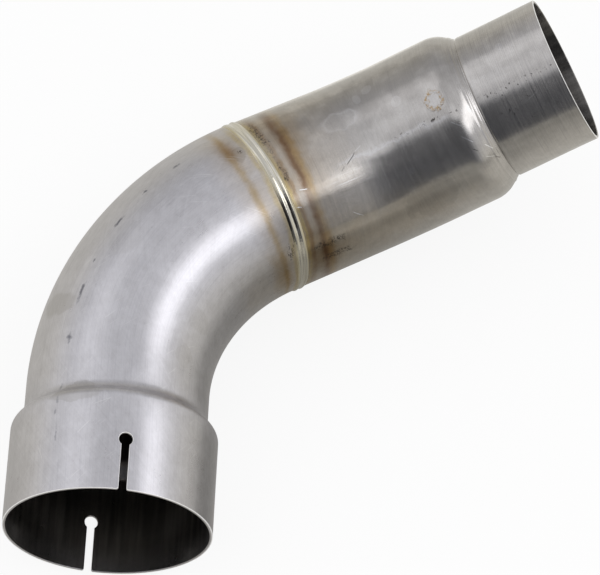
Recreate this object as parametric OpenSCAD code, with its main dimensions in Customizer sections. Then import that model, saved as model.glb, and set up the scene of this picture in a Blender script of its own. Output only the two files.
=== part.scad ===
// Exhaust connection pipe: a mandrel-bent tube with a slotted clamp socket, welded to a sleeve with a
// narrower spigot. The origin is the centre of the socket's mouth. +Y runs into the tube, the bend
// turns towards +X in the plane z = 0, and past the weld the sleeve bends again, mostly towards +Z.
// Millimetres and degrees.

/* [Tube stock] */
// Wall thickness of both tubes
wall = 1.0; // [0.8:0.1:1.8]
// Width of the deburred edge on a cut rim
edge_break = 0.15; // [0.05:0.05:0.35]

/* [Inlet socket] */
// Inner diameter of the socket, which slips over the pipe before it
socket_bore = 65.6; // [63.5:0.1:74]
// Length of the socket's straight wall, from its mouth to its shoulder
socket_length = 33.5; // [26:0.5:60]
// Angle between the socket's shoulder and the axis
socket_shoulder_angle = 57; // [40:1:70]
// Outer radius of the round edge where the socket turns into its shoulder
socket_edge_r = 2.4; // [2:0.1:4]
// Outer radius of the fillet where the shoulder meets the tube
socket_fillet_r = 0.6; // [0.2:0.1:1.5]

/* [Clamp slots] */
// Width of each slot
slot_w = 2.6; // [1.5:0.1:4]
// Diameter of the hole that ends each slot and stops it from tearing
slot_hole_d = 4.5; // [4.1:0.1:7]
// Distance from the socket's mouth to the centre of that hole
slot_length = 17.4; // [10:0.1:22]
// Size of the broken corners where a slot opens at the mouth
slot_corner = 0.6; // [0.1:0.1:1.2]
// Place of the first slot around the socket, from +X towards +Z
first_slot_angle = 77; // [0:0.5:120]
// Place of the second slot, cut a little off the opposite point
second_slot_angle = 253.5; // [200:0.5:320]

/* [Bent tube] */
// Outer diameter of the bent tube
tube_od = 60; // [56:0.1:62.5]
// Straight length between the socket's shoulder and the bend
lead_length = 11.5; // [4:0.1:40]
// Radius of the bend, at the centreline
bend_r = 80.5; // [60:0.5:140]
// Angle that the bend turns through
bend_angle = 63; // [30:0.5:110]
// Straight length between the bend and the middle of the weld
weld_lead = 2.4; // [2.3:0.1:15]
// How much a straight end is opened past the bend's own radius when it is sized for welding
end_sizing = 0.03; // [0.02:0.01:0.1]

/* [Weld bead] */
// Width of the bead's crown on the outside
bead_w = 4.2; // [3:0.1:4.4]
// Height of the crown above the tubes
bead_h = 0.45; // [0.2:0.05:0.8]
// Gap between the tube ends that the weld fills
root_gap = 1.0; // [0.4:0.1:1.6]
// Width of the root bead on the inside
root_w = 2.4; // [2:0.1:4]
// Height of the root bead on the inside
root_h = 0.3; // [0.1:0.05:0.6]

/* [Outlet sleeve] */
// Outer diameter of the sleeve past its taper
sleeve_od = 59.2; // [57:0.1:60]
// Straight length of the sleeve between the middle of the weld and its taper
sleeve_lead = 2.5; // [2.3:0.1:10]
// Length of the taper from the tube's diameter to the sleeve's, which ends at the sleeve's bend
taper_length = 25; // [6:0.5:60]
// Angle that the sleeve bends through
sleeve_bend_angle = 20.5; // [5:0.5:45]
// Radius of the sleeve's bend, at the centreline
sleeve_bend_r = 73; // [60:1:300]
// Turn of the sleeve's bend about the pipe, from the plane of the first bend towards +Z
sleeve_bend_turn = 70; // [0:1:180]
// Straight length between the sleeve's bend and the spigot's shoulder
sleeve_length = 18.5; // [8:0.5:80]

/* [Outlet spigot] */
// Outer diameter of the spigot, which the next pipe slips over
spigot_od = 51; // [45:0.1:53]
// Straight length of the spigot, from its shoulder to its rim
spigot_length = 29; // [20:0.5:60]
// Angle between the spigot's shoulder and the axis
spigot_shoulder_angle = 36.5; // [25:0.5:50]
// Outer radius of the round edge where the sleeve turns into the shoulder
spigot_edge_r = 11.5; // [3:0.5:14]
// Outer radius of the fillet where the shoulder meets the spigot
spigot_fillet_r = 2.6; // [1:0.1:5]

/* [Hidden] */

$fn = 96;
// Steps along each arc of a turned profile
ARC_STEPS = 8;
// How far a cutter reaches past the wall that it cuts
CUT_OVER = 2;
// How far a sized straight end runs into the bend that it grows out of
JOIN_OVER = 0.4;

socket_r = socket_bore / 2 + wall;
tube_r = tube_od / 2;
// Outer radius of both tube ends at the weld
weld_r = tube_r + end_sizing;
// Outer radius of the sleeve's straight stretches, and in the bend between them
sleeve_r = sleeve_od / 2;
bent_sleeve_r = sleeve_r - end_sizing;
spigot_r = spigot_od / 2;

// The shoulders' arcs, limited so that both fit in the change of radius
function fit_r(r, other, drop, angle) = min(r, r / (r + other) * drop / (1 - cos(angle)));
socket_ra = fit_r(socket_edge_r, socket_fillet_r, socket_r - tube_r, socket_shoulder_angle);
socket_rb = fit_r(socket_fillet_r, socket_edge_r, socket_r - tube_r, socket_shoulder_angle);
spigot_ra = fit_r(spigot_edge_r, spigot_fillet_r, sleeve_r - spigot_r, spigot_shoulder_angle);
spigot_rb = fit_r(spigot_fillet_r, spigot_edge_r, sleeve_r - spigot_r, spigot_shoulder_angle);

// Length along the axis of a shoulder that drops from radius big to small
function shoulder_length(big, small, ra, rb, angle) =
    (ra + rb) * sin(angle) + (big - small - (ra + rb) * (1 - cos(angle))) / tan(angle);

// Points [radius, height] of a shoulder that starts at height h, on the surface that lies depth
// under the outer one: a convex arc, a cone and a concave arc, each keeping the wall's thickness
function shoulder(h, big, small, ra, rb, angle, depth) =
    let (end = h + shoulder_length(big, small, ra, rb, angle))
    concat(
        [for (i = [0 : ARC_STEPS]) let (a = angle * i / ARC_STEPS)
            [big - ra + (ra - depth) * cos(a), h + (ra - depth) * sin(a)]],
        [for (i = [ARC_STEPS : -1 : 0]) let (a = angle * i / ARC_STEPS)
            [small + rb - (rb + depth) * cos(a), end - (rb + depth) * sin(a)]]);

function reversed(points) = [for (i = [len(points) - 1 : -1 : 0]) points[i]];

socket_shoulder_length =
    shoulder_length(socket_r, tube_r, socket_ra, socket_rb, socket_shoulder_angle);
spigot_shoulder_length =
    shoulder_length(sleeve_r, spigot_r, spigot_ra, spigot_rb, spigot_shoulder_angle);
bend_start = socket_length + socket_shoulder_length + lead_length;
taper_end = sleeve_lead + taper_length;
spigot_end = sleeve_length + spigot_shoulder_length + spigot_length;

// Turns a profile of [radius, distance along the pipe] points around the local +Y axis
module turned() {
    rotate([-90, 0, 0]) rotate_extrude() children();
}

// A hollow bend of the tube's wall, which starts at the origin along +Y and turns towards +X
module hollow_bend(outer_r, bend_radius, angle) {
    mirror([1, 0, 0])
        translate([-bend_radius, 0, 0])
            rotate_extrude(angle = angle)
                translate([bend_radius, 0])
                    difference() {
                        circle(r = outer_r);
                        circle(r = outer_r - wall);
                    }
}

// Puts its children at the end of a bend, with +Y along the pipe
module past_bend(bend_radius, angle) {
    translate([bend_radius * (1 - cos(angle)), bend_radius * sin(angle), 0])
        rotate([0, 0, -angle]) children();
}

// The place where the bent tube's bend ends
module past_main_bend() {
    translate([0, bend_start, 0]) past_bend(bend_r, bend_angle) children();
}

// The middle of the weld, where the sleeve begins
module at_weld() {
    past_main_bend() translate([0, weld_lead, 0]) children();
}

// Wall of the socket, its shoulder and the straight lead into the bend
module socket_wall_profile() {
    polygon(concat(
        [[socket_r - edge_break, 0], [socket_r, edge_break]],
        shoulder(socket_length, socket_r, tube_r, socket_ra, socket_rb, socket_shoulder_angle, 0),
        [[tube_r, bend_start], [tube_r - wall, bend_start]],
        reversed(shoulder(socket_length, socket_r, tube_r, socket_ra, socket_rb,
            socket_shoulder_angle, wall)),
        [[socket_r - wall, edge_break], [socket_r - wall + edge_break, 0]]));
}

// One keyhole slot through the socket's wall: a round hole with a straight slot out to the mouth
module keyhole(angle) {
    rotate([0, -angle, 0]) rotate([0, 90, 0])
        translate([0, 0, socket_bore / 2 - CUT_OVER])
            linear_extrude(height = wall + 2 * CUT_OVER) {
                translate([0, slot_length]) circle(d = slot_hole_d);
                translate([-slot_w / 2, -CUT_OVER]) square([slot_w, slot_length + CUT_OVER]);
                polygon([
                    [-slot_w / 2 - slot_corner, 0], [-slot_w / 2 - slot_corner, -CUT_OVER],
                    [slot_w / 2 + slot_corner, -CUT_OVER], [slot_w / 2 + slot_corner, 0],
                    [slot_w / 2, slot_corner], [-slot_w / 2, slot_corner]]);
            }
}

// The expanded and slotted end of the tube, up to the plane where its bend starts. It is one metal
// with the bent tube, and the two solids meet there face to face.
module slotted_socket() {
    color([0.72, 0.7, 0.67])
        difference() {
            turned() socket_wall_profile();
            keyhole(first_slot_angle);
            keyhole(second_slot_angle);
        }
}

// The tube's bend, with its far end sized for the weld
module bent_tube() {
    color([0.72, 0.7, 0.67]) {
        translate([0, bend_start, 0]) hollow_bend(tube_r, bend_r, bend_angle);
        past_main_bend() turned()
            translate([weld_r - wall, -JOIN_OVER])
                square([wall, weld_lead - root_gap / 2 + JOIN_OVER]);
    }
}

// Points of the crown and of the root, each the flat arch of a bead laid in one pass
function crown(steps) =
    [for (i = [0 : steps]) let (t = 2 * i / steps - 1)
        [weld_r + bead_h * (1 - t * t), bead_w / 2 * t]];
function root(steps) =
    [for (i = [steps : -1 : 0]) let (t = 2 * i / steps - 1)
        [weld_r - wall - root_h * (1 - t * t), root_w / 2 * t]];

module weld_bead() {
    color([0.78, 0.74, 0.64])
        at_weld() turned()
            polygon(concat(
                crown(ARC_STEPS),
                [[weld_r, root_gap / 2], [weld_r - wall, root_gap / 2]],
                root(ARC_STEPS),
                [[weld_r - wall, -root_gap / 2], [weld_r, -root_gap / 2]]));
}

// Wall of the sleeve's straight start and of the taper to the sleeve's own diameter
module taper_wall_profile() {
    polygon([
        [weld_r, root_gap / 2], [weld_r, sleeve_lead],
        [sleeve_r, taper_end], [sleeve_r, taper_end + JOIN_OVER],
        [sleeve_r - wall, taper_end + JOIN_OVER], [sleeve_r - wall, taper_end],
        [weld_r - wall, sleeve_lead], [weld_r - wall, root_gap / 2]]);
}

// Wall of the sleeve's straight part, its shoulder and the spigot, drawn down from the same tube
module spigot_wall_profile() {
    polygon(concat(
        [[sleeve_r, -JOIN_OVER]],
        shoulder(sleeve_length, sleeve_r, spigot_r, spigot_ra, spigot_rb,
            spigot_shoulder_angle, 0),
        [[spigot_r, spigot_end - edge_break], [spigot_r - edge_break, spigot_end],
            [spigot_r - wall + edge_break, spigot_end], [spigot_r - wall, spigot_end - edge_break]],
        reversed(shoulder(sleeve_length, sleeve_r, spigot_r, spigot_ra, spigot_rb,
            spigot_shoulder_angle, wall)),
        [[sleeve_r - wall, -JOIN_OVER]]));
}

// The sleeve's bend starts along +Y like the main one, in a plane of its own that is turned about +Y
module outlet_sleeve() {
    color([0.7, 0.68, 0.66])
        at_weld() {
            turned() taper_wall_profile();
            translate([0, taper_end, 0]) rotate([0, -sleeve_bend_turn, 0]) {
                hollow_bend(bent_sleeve_r, sleeve_bend_r, sleeve_bend_angle);
                past_bend(sleeve_bend_r, sleeve_bend_angle) turned() spigot_wall_profile();
            }
        }
}

slotted_socket();
bent_tube();
weld_bead();
outlet_sleeve();
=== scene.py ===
# %% [markdown]
# An exhaust connection pipe is two thin stainless tubes, formed and then welded into one. This lesson
# builds both walls as flat sheets, the way a tube is thought of before it is rolled, and lets Geometry
# Nodes roll them and bend them along the pipe's path. The frame holds the real sizes and stays as it is.

# %% Load the frame
from math import asin, cos, hypot, pi, radians, sin, tan

import bpy
from mathutils import Matrix, Vector
from mathutils.geometry import delaunay_2d_cdt


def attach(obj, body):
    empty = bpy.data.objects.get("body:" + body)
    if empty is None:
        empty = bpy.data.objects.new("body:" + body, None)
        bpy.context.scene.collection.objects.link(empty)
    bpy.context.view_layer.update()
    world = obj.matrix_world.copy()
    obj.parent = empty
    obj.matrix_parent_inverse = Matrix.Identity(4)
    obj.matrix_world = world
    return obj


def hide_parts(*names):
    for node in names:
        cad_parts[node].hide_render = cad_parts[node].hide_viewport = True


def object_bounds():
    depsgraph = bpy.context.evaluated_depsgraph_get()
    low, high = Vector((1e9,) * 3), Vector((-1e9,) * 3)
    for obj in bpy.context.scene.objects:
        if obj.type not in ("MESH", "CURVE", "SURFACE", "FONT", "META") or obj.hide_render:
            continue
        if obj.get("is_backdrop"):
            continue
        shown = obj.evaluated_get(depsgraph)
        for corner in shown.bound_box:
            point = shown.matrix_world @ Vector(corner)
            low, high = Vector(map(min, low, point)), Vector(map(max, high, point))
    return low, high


MM = 0.001
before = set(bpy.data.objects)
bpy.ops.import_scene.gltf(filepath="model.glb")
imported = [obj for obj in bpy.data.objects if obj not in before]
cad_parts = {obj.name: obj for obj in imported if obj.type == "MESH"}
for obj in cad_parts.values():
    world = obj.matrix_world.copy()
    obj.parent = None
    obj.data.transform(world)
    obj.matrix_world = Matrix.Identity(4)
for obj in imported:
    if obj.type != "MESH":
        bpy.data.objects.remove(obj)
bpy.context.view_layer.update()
print("nodes in the frame:", sorted(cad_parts))

# %% [markdown]
# Every length below is one of the pipe's own, in millimetres. The distance along the centreline is
# called s: it starts at the socket's mouth and ends at the spigot's rim. Angles around the pipe start
# at +X and turn towards +Z.

# %% Sizes of the pipe
WALL = 1.0
SOCKET_R = 33.8
SOCKET_LENGTH = 33.5
SOCKET_SHOULDER = {"edge_r": 2.4, "fillet_r": 0.6, "angle": radians(57)}
SOFT_SOCKET_SHOULDER = {"edge_r": 3.4, "fillet_r": 4.8, "angle": radians(45)}
SOFT_START = SOCKET_LENGTH - 0.7
TUBE_R = 30.0
LEAD_LENGTH = 11.5
BEND_R = 80.5
BEND_ANGLE = radians(63)
WELD_LEAD = 2.4
ROOT_GAP = 1.0
BEAD_WIDTH = 4.2
BEAD_HEIGHT = 0.42
ROOT_WIDTH = 2.4
ROOT_HEIGHT = 0.3
SLEEVE_R = 29.6
TAPER_END = 27.5
SLEEVE_BEND_R = 73.0
SLEEVE_BEND_ANGLE = radians(20.5)
SLEEVE_BEND_TURN = radians(70)
SLEEVE_LENGTH = 18.5
SPIGOT_R = 25.5
SPIGOT_LENGTH = 29.0
SPIGOT_SHOULDER = {"edge_r": 11.5, "fillet_r": 2.6, "angle": radians(36.5)}
SLOT_WIDTH = 2.6
SLOT_HOLE_R = 2.25
SLOT_LENGTH = 17.4
SLOT_CORNER = 0.6
SLOT_ANGLES = [radians(77), radians(253.5 - 360)]
EDGE = 0.16
print(f"tube {2 * TUBE_R:.0f} mm, socket {2 * SOCKET_R:.1f} mm, spigot {2 * SPIGOT_R:.0f} mm outside")


# %% [markdown]
# A shoulder is where a tube changes its diameter: a round edge, a short cone and a fillet, all with
# the same wall. Its arcs shrink together where the change of radius has no room for them, so that the
# scene and the solid agree.

# %% Shoulders
def shoulder_arcs(big, small, shape):
    drop, bend = big - small, 1 - cos(shape["angle"])
    share = min(1.0, drop / (bend * (shape["edge_r"] + shape["fillet_r"])))
    edge_r, fillet_r = shape["edge_r"] * share, shape["fillet_r"] * share
    reach = edge_r + fillet_r
    length = reach * sin(shape["angle"]) + (drop - reach * bend) / tan(shape["angle"])
    return edge_r, fillet_r, length


def shoulder_points(start, big, small, shape, depth, steps=10):
    edge_r, fillet_r, length = shoulder_arcs(big, small, shape)
    points = []
    for step in range(steps + 1):
        turn = shape["angle"] * step / steps
        points.append((start + (edge_r - depth) * sin(turn), big - edge_r + (edge_r - depth) * cos(turn)))
    for step in range(steps, -1, -1):
        turn = shape["angle"] * step / steps
        points.append((start + length - (fillet_r + depth) * sin(turn),
                       small + fillet_r - (fillet_r + depth) * cos(turn)))
    return points


print(f"the socket's shoulder is {shoulder_arcs(SOCKET_R, TUBE_R, SOCKET_SHOULDER)[2]:.1f} mm long")


# %% [markdown]
# With the shoulders known, the places along the pipe follow by adding lengths up. Nothing is typed twice,
# so a change of one length moves everything past it.

# %% Places along the pipe
BEND_START = SOCKET_LENGTH + shoulder_arcs(SOCKET_R, TUBE_R, SOCKET_SHOULDER)[2] + LEAD_LENGTH
WELD_S = BEND_START + BEND_R * BEND_ANGLE + WELD_LEAD
SLEEVE_BEND_START = WELD_S + TAPER_END
SLEEVE_BEND_END = SLEEVE_BEND_START + SLEEVE_BEND_R * SLEEVE_BEND_ANGLE
SHOULDER_START = SLEEVE_BEND_END + SLEEVE_LENGTH
SPIGOT_START = SHOULDER_START + shoulder_arcs(SLEEVE_R, SPIGOT_R, SPIGOT_SHOULDER)[2]
PIPE_END = SPIGOT_START + SPIGOT_LENGTH


def skin_radius(s):
    """Radius of the outer skin, with the shoulders taken as cones."""
    places = [(SOCKET_LENGTH, SOCKET_R), (BEND_START - LEAD_LENGTH, TUBE_R), (WELD_S, TUBE_R),
              (SLEEVE_BEND_START, SLEEVE_R), (SHOULDER_START, SLEEVE_R), (SPIGOT_START, SPIGOT_R)]
    for (s0, r0), (s1, r1) in zip(places, places[1:]):
        if s < s1:
            return r0 + (r1 - r0) * max(0.0, s - s0) / (s1 - s0)
    return SPIGOT_R


print(f"the weld lies {WELD_S:.1f} mm along the pipe, the rim {PIPE_END:.1f} mm")


# %% [markdown]
# Node trees are easier to read as formulas. These helpers add one node each, link what is a socket and
# set what is a number, and hand back the result for the next line.

# %% Helpers for node trees
def add_node(tree, kind, inputs=(), **settings):
    made = tree.nodes.new(kind)
    for name, value in settings.items():
        setattr(made, name, value)
    for key, value in dict(inputs).items():
        if isinstance(value, bpy.types.NodeSocket):
            tree.links.new(value, made.inputs[key])
        else:
            made.inputs[key].default_value = value
    return made


def calc(tree, operation, *values, clamp=False):
    inputs = dict(enumerate(values))
    return add_node(tree, "ShaderNodeMath", inputs, operation=operation, use_clamp=clamp).outputs[0]


def combine(tree, x=0.0, y=0.0, z=0.0):
    return add_node(tree, "ShaderNodeCombineXYZ", {0: x, 1: y, 2: z}).outputs[0]


def vector_calc(tree, operation, a, b=(0.0, 0.0, 0.0), scale=1.0):
    made = add_node(tree, "ShaderNodeVectorMath", {0: a, 1: b}, operation=operation)
    if operation == "SCALE":
        if isinstance(scale, bpy.types.NodeSocket):
            tree.links.new(scale, made.inputs["Scale"])
        else:
            made.inputs["Scale"].default_value = scale
    return made.outputs["Value"] if operation == "LENGTH" else made.outputs[0]


def turn_about(tree, vector, axis, angle):
    kind = {"Y": "Y_AXIS", "Z": "Z_AXIS"}[axis]
    made = add_node(tree, "ShaderNodeVectorRotate", {"Vector": vector, "Angle": angle}, rotation_type=kind)
    return made.outputs[0]


def noise(tree, vector, scale, detail=2.0, roughness=0.5):
    made = add_node(tree, "ShaderNodeTexNoise", {
        "Vector": vector, "Scale": scale, "Detail": detail, "Roughness": roughness})
    return made.outputs[0]


print("Blender", bpy.app.version_string, "makes the node trees")


# %% [markdown]
# Three more helpers shape a number. One turns a range into a smooth step, since nothing on worn metal
# starts at a sharp line. One measures how far a number is from another, and one multiplies several.
# A fourth helper starts a Geometry Nodes tree with its inputs.

# %% Helpers that shape a number
def ramp(tree, value, low, high, at_low=0.0, at_high=1.0, smooth=True):
    return add_node(tree, "ShaderNodeMapRange", {
        "Value": value, "From Min": low, "From Max": high, "To Min": at_low, "To Max": at_high},
        interpolation_type="SMOOTHSTEP" if smooth else "LINEAR").outputs[0]


def distance(tree, value, middle):
    return calc(tree, "ABSOLUTE", calc(tree, "SUBTRACT", value, middle))


def times(tree, product, *factors):
    for factor in factors:
        product = calc(tree, "MULTIPLY", product, factor)
    return product


def new_tree(name, sockets):
    tree = bpy.data.node_groups.new(name, "GeometryNodeTree")
    tree.interface.new_socket("Geometry", in_out="INPUT", socket_type="NodeSocketGeometry")
    tree.interface.new_socket("Geometry", in_out="OUTPUT", socket_type="NodeSocketGeometry")
    for label, kind in sockets:
        tree.interface.new_socket(label, in_out="INPUT", socket_type=kind)
    given = tree.nodes.new("NodeGroupInput")
    result = tree.nodes.new("NodeGroupOutput")
    return tree, given.outputs, result.inputs["Geometry"]


print("a smooth step goes from 0 at its low end to 1 at its high end")


# %% [markdown]
# A bender holds the tube still up to a point, wraps it around a former and leaves the rest straight.
# The node group does the same to a straight pipe on the Y axis: each point is taken to its own place on
# the arc, and everything past the arc moves along as one rigid length. Turn sets the plane of the bend.

# %% Node group that bends a straight pipe
FLOAT = "NodeSocketFloat"


def bend_group():
    tree, given, result = new_tree("bend_the_pipe", [
        ("Start", FLOAT), ("Radius", FLOAT), ("Angle", FLOAT), ("Turn", FLOAT)])
    along = add_node(tree, "GeometryNodeInputNamedAttribute", {"Name": "along"}, data_type="FLOAT")
    past = calc(tree, "SUBTRACT", along.outputs[0], given["Start"])
    angle = calc(tree, "MINIMUM", calc(tree, "MAXIMUM", calc(tree, "DIVIDE", past, given["Radius"]), 0.0),
                 given["Angle"])
    centre = calc(tree, "ADD", given["Start"], calc(tree, "MULTIPLY", angle, given["Radius"]))
    place = tree.nodes.new("GeometryNodeInputPosition").outputs[0]
    local = vector_calc(tree, "SUBTRACT", place, combine(tree, y=centre))
    local = turn_about(tree, local, "Y", given["Turn"])
    local = turn_about(tree, local, "Z", calc(tree, "MULTIPLY", angle, -1.0))
    rise = calc(tree, "SUBTRACT", 1.0, calc(tree, "COSINE", angle))
    arc = combine(tree, calc(tree, "MULTIPLY", given["Radius"], rise),
                  calc(tree, "MULTIPLY_ADD", given["Radius"], calc(tree, "SINE", angle), given["Start"]))
    bent = turn_about(tree, vector_calc(tree, "ADD", local, arc), "Y",
                      calc(tree, "MULTIPLY", given["Turn"], -1.0))
    moved = add_node(tree, "GeometryNodeSetPosition", {"Geometry": given["Geometry"], "Position": bent})
    tree.links.new(moved.outputs[0], result)
    return tree


BEND_GROUP = bend_group()
print("the bend group has", len(BEND_GROUP.nodes), "nodes")


# %% [markdown]
# Two tubes are never cut and welded quite square. On this pipe the weld leans back all the way round
# except on the side that faced the welder. Moving points along the pipe, most at the weld and not at all
# a short way off, gives that lean to the joint and to the metal beside it.

# %% A joint that leans back
WANDER_FLAT = 2.0
WANDER_REACH = 11.0
WANDER_ANGLE = radians(50)
WANDER_POWER = 1.5
WANDER_FORWARD = 3.0
WANDER_BACK = 2.3


def wandering(tree, around, level, wander):
    away = distance(tree, level, WELD_S * MM)
    near = ramp(tree, away, WANDER_FLAT * MM, WANDER_REACH * MM, 1.0, 0.0)
    facing = calc(tree, "MAXIMUM", calc(tree, "COSINE", calc(tree, "SUBTRACT", around, WANDER_ANGLE)), 0.0)
    forward = calc(tree, "POWER", facing, WANDER_POWER)
    lean = calc(tree, "MULTIPLY_ADD", forward, WANDER_FORWARD, -WANDER_BACK)
    return calc(tree, "MULTIPLY_ADD", times(tree, near, lean), wander, level)


print(f"the weld leans back by up to {WANDER_BACK} mm")


# %% [markdown]
# Weld metal freezes pool by pool, and each pool leaves a faint arc across the bead. The arcs come from one
# sawtooth along the bead, bowed by the square of the distance from its middle and swayed by noise, since
# no hand moves evenly.

# %% Ripples on the bead
RIPPLE_BOW = 0.9
RIPPLE_SWAY = 1.6
SWAY_SCALE = 2.2
SWAY_SEED = 4.0
CROWN_POWER = 3.0


def ripple_height(tree, around, along, given):
    across = calc(tree, "DIVIDE", calc(tree, "SUBTRACT", along, WELD_S * MM), BEAD_WIDTH / 2 * MM)
    arch = calc(tree, "MULTIPLY", across, across)
    sway = noise(tree, combine(tree, calc(tree, "MULTIPLY", around, SWAY_SCALE), 0.0, SWAY_SEED), 1.0, 2.0)
    path = calc(tree, "MULTIPLY", around, TUBE_R * MM)
    bowed = calc(tree, "MULTIPLY_ADD", arch, RIPPLE_BOW * MM, path)
    uneven = calc(tree, "MULTIPLY_ADD", sway, RIPPLE_SWAY * MM, bowed)
    phase = calc(tree, "FRACT", calc(tree, "DIVIDE", uneven, given["Ripple pitch"]))
    scale_edge = calc(tree, "SINE", calc(tree, "MULTIPLY", phase, pi))
    falling = calc(tree, "POWER", calc(tree, "ABSOLUTE", across), CROWN_POWER)
    crown = calc(tree, "SUBTRACT", 1.0, falling, clamp=True)
    return times(tree, scale_edge, crown, given["Ripple height"])


print(f"the ripples bow by {RIPPLE_BOW} mm across the bead")


# %% [markdown]
# The sheets hold (angle around, distance along, radius) as if they were x, y and z. Rolling turns those
# into a straight pipe and stores that place as the attribute "pipe", which the materials read, so that
# brushing and stains follow the metal round the bends. Handling leaves no tube perfectly round, so a
# slow noise moves the wall by up to some tenths of a millimetre before it is bent.

# %% Node tree that rolls a sheet into the pipe
ROLL_SOCKETS = [("Unevenness", FLOAT), ("Dent size", FLOAT), ("Dents from", FLOAT), ("Wander", FLOAT),
                ("Ripple height", FLOAT), ("Ripple pitch", FLOAT), ("Material", "NodeSocketMaterial")]
DENT_FADE = 14.0
DENT_DETAIL = 1.5
DENT_ROUGHNESS = 0.35


def on_pipe(tree, out, radius, along):
    return vector_calc(tree, "ADD", vector_calc(tree, "SCALE", out, scale=radius), combine(tree, y=along))


def roll_tree():
    tree, given, result = new_tree("roll_and_bend", ROLL_SOCKETS)
    flat = tree.nodes.new("GeometryNodeInputPosition").outputs[0]
    around, level, radius = add_node(tree, "ShaderNodeSeparateXYZ", {0: flat}).outputs
    along = wandering(tree, around, level, given["Wander"])
    out = combine(tree, calc(tree, "COSINE", around), 0.0, calc(tree, "SINE", around))
    straight = on_pipe(tree, out, radius, along)
    unmoved = on_pipe(tree, out, radius, level)
    on_skin = on_pipe(tree, out, TUBE_R * MM, along)
    waves = noise(tree, on_skin, given["Dent size"], DENT_DETAIL, DENT_ROUGHNESS)
    waves = calc(tree, "SUBTRACT", waves, 0.5)
    full = calc(tree, "ADD", given["Dents from"], DENT_FADE * MM)
    wobble = times(tree, waves, given["Unevenness"], ramp(tree, along, given["Dents from"], full))
    lift = calc(tree, "ADD", wobble, ripple_height(tree, around, level, given))
    place = vector_calc(tree, "ADD", straight, vector_calc(tree, "SCALE", out, scale=lift))
    kept = add_node(tree, "GeometryNodeStoreNamedAttribute", {
        "Geometry": given["Geometry"], "Name": "along", "Value": along}, data_type="FLOAT", domain="POINT")
    kept = add_node(tree, "GeometryNodeStoreNamedAttribute", {
        "Geometry": kept.outputs[0], "Name": "pipe", "Value": unmoved},
        data_type="FLOAT_VECTOR", domain="POINT")
    shape = add_node(tree, "GeometryNodeSetPosition", {"Geometry": kept.outputs[0], "Position": place})
    for start, bend_r, angle, turn in (
            (SLEEVE_BEND_START, SLEEVE_BEND_R, SLEEVE_BEND_ANGLE, SLEEVE_BEND_TURN),
            (BEND_START, BEND_R, BEND_ANGLE, 0.0)):
        shape = bent_by(tree, shape, start * MM, bend_r * MM, angle, turn)
    real = add_node(tree, "GeometryNodeRealizeInstances", {"Geometry": shape.outputs[0]})
    done = add_node(tree, "GeometryNodeSetMaterial", {
        "Geometry": real.outputs[0], "Material": given["Material"]})
    tree.links.new(done.outputs[0], result)
    return tree


def bent_by(tree, shape, start, radius, angle, turn):
    made = tree.nodes.new("GeometryNodeGroup")
    made.node_tree = BEND_GROUP
    tree.links.new(shape.outputs[0], made.inputs["Geometry"])
    for label, value in (("Start", start), ("Radius", radius), ("Angle", angle), ("Turn", turn)):
        made.inputs[label].default_value = value
    return made


ROLL_TREE = roll_tree()
print("the roll tree has", len(ROLL_TREE.nodes), "nodes")


# %% [markdown]
# The modifier's inputs are set by their identifiers. The evaluated result becomes a plain mesh, and the
# modifier goes.

# %% Rolling one sheet
def marked(mesh, name, values):
    """A number for each point that the material reads."""
    mesh.attributes.new(name, "FLOAT", "POINT").data.foreach_set("value", [float(v) for v in values])


def rolled(name, vertices, faces, material, values):
    mesh = bpy.data.meshes.new(name)
    mesh.from_pydata([(a, s * MM, r * MM) for a, s, r in vertices], [], faces)
    marked(mesh, "inside", (r < skin_radius(s) - WALL / 2 for a, s, r in vertices))
    marked(mesh, "cut", (is_cut_edge(s, r) for a, s, r in vertices))
    piece = bpy.data.objects.new(name, mesh)
    bpy.context.scene.collection.objects.link(piece)
    modifier = piece.modifiers.new("roll", "NODES")
    modifier.node_group = ROLL_TREE
    for item in ROLL_TREE.interface.items_tree:
        if item.in_out == "INPUT" and item.name in values:
            modifier[item.identifier] = values[item.name]
        elif item.in_out == "INPUT" and item.name == "Material":
            modifier[item.identifier] = material
    bpy.context.view_layer.update()
    seen = piece.evaluated_get(bpy.context.evaluated_depsgraph_get())
    result = bpy.data.meshes.new_from_object(seen)
    piece.modifiers.clear()
    piece.data = result
    result.name = name
    result.polygons.foreach_set("use_smooth", [True] * len(result.polygons))
    if signed_volume(result) < 0:
        result.flip_normals()
    result.update()
    print(f"{name}: {len(result.vertices)} points, {len(result.polygons)} faces")
    return piece


def is_cut_edge(s, radius):
    """True on the outer rounding of the rims and keyholes, where the metal was cut and deburred and a
    highlight is painted.
    """
    rounded = ON_SKIN < skin_radius(s) - radius < CUT_DEPTH * WALL
    return rounded and (s < SHEET_END or s > PIPE_END - 1.5 * EDGE)


def signed_volume(mesh):
    mesh.calc_loop_triangles()
    total = 0.0
    for triangle in mesh.loop_triangles:
        a, b, c = (mesh.vertices[i].co for i in triangle.vertices)
        total += a.dot(b.cross(c))
    return total / 6


ON_SKIN = 0.01
CUT_DEPTH = 0.4
print("each sheet becomes a plain mesh once it is rolled")


# %% [markdown]
# Around the pipe the sheet has one column of points for each degree and a half. Lengthways it has a row
# wherever the section changes, and one each millimetre and a half where it runs smooth, so that the
# bend reads as round in a reflection.

# %% Columns and rows
COLUMNS = 240
ROW_STEP = 1.5
SAME_ROW = 1e-4


def column_angle(column):
    return -pi + 2 * pi * column / COLUMNS


def rows_between(start, end, radius_start, radius_end):
    count = max(1, round((end - start) / ROW_STEP))
    return [(start + (end - start) * i / count, radius_start + (radius_end - radius_start) * i / count)
            for i in range(count + 1)]


def joined(*stretches):
    rows = []
    for stretch in stretches:
        for row in stretch:
            if not rows or abs(row[0] - rows[-1][0]) + abs(row[1] - rows[-1][1]) > SAME_ROW:
                rows.append(row)
    return rows


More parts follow.
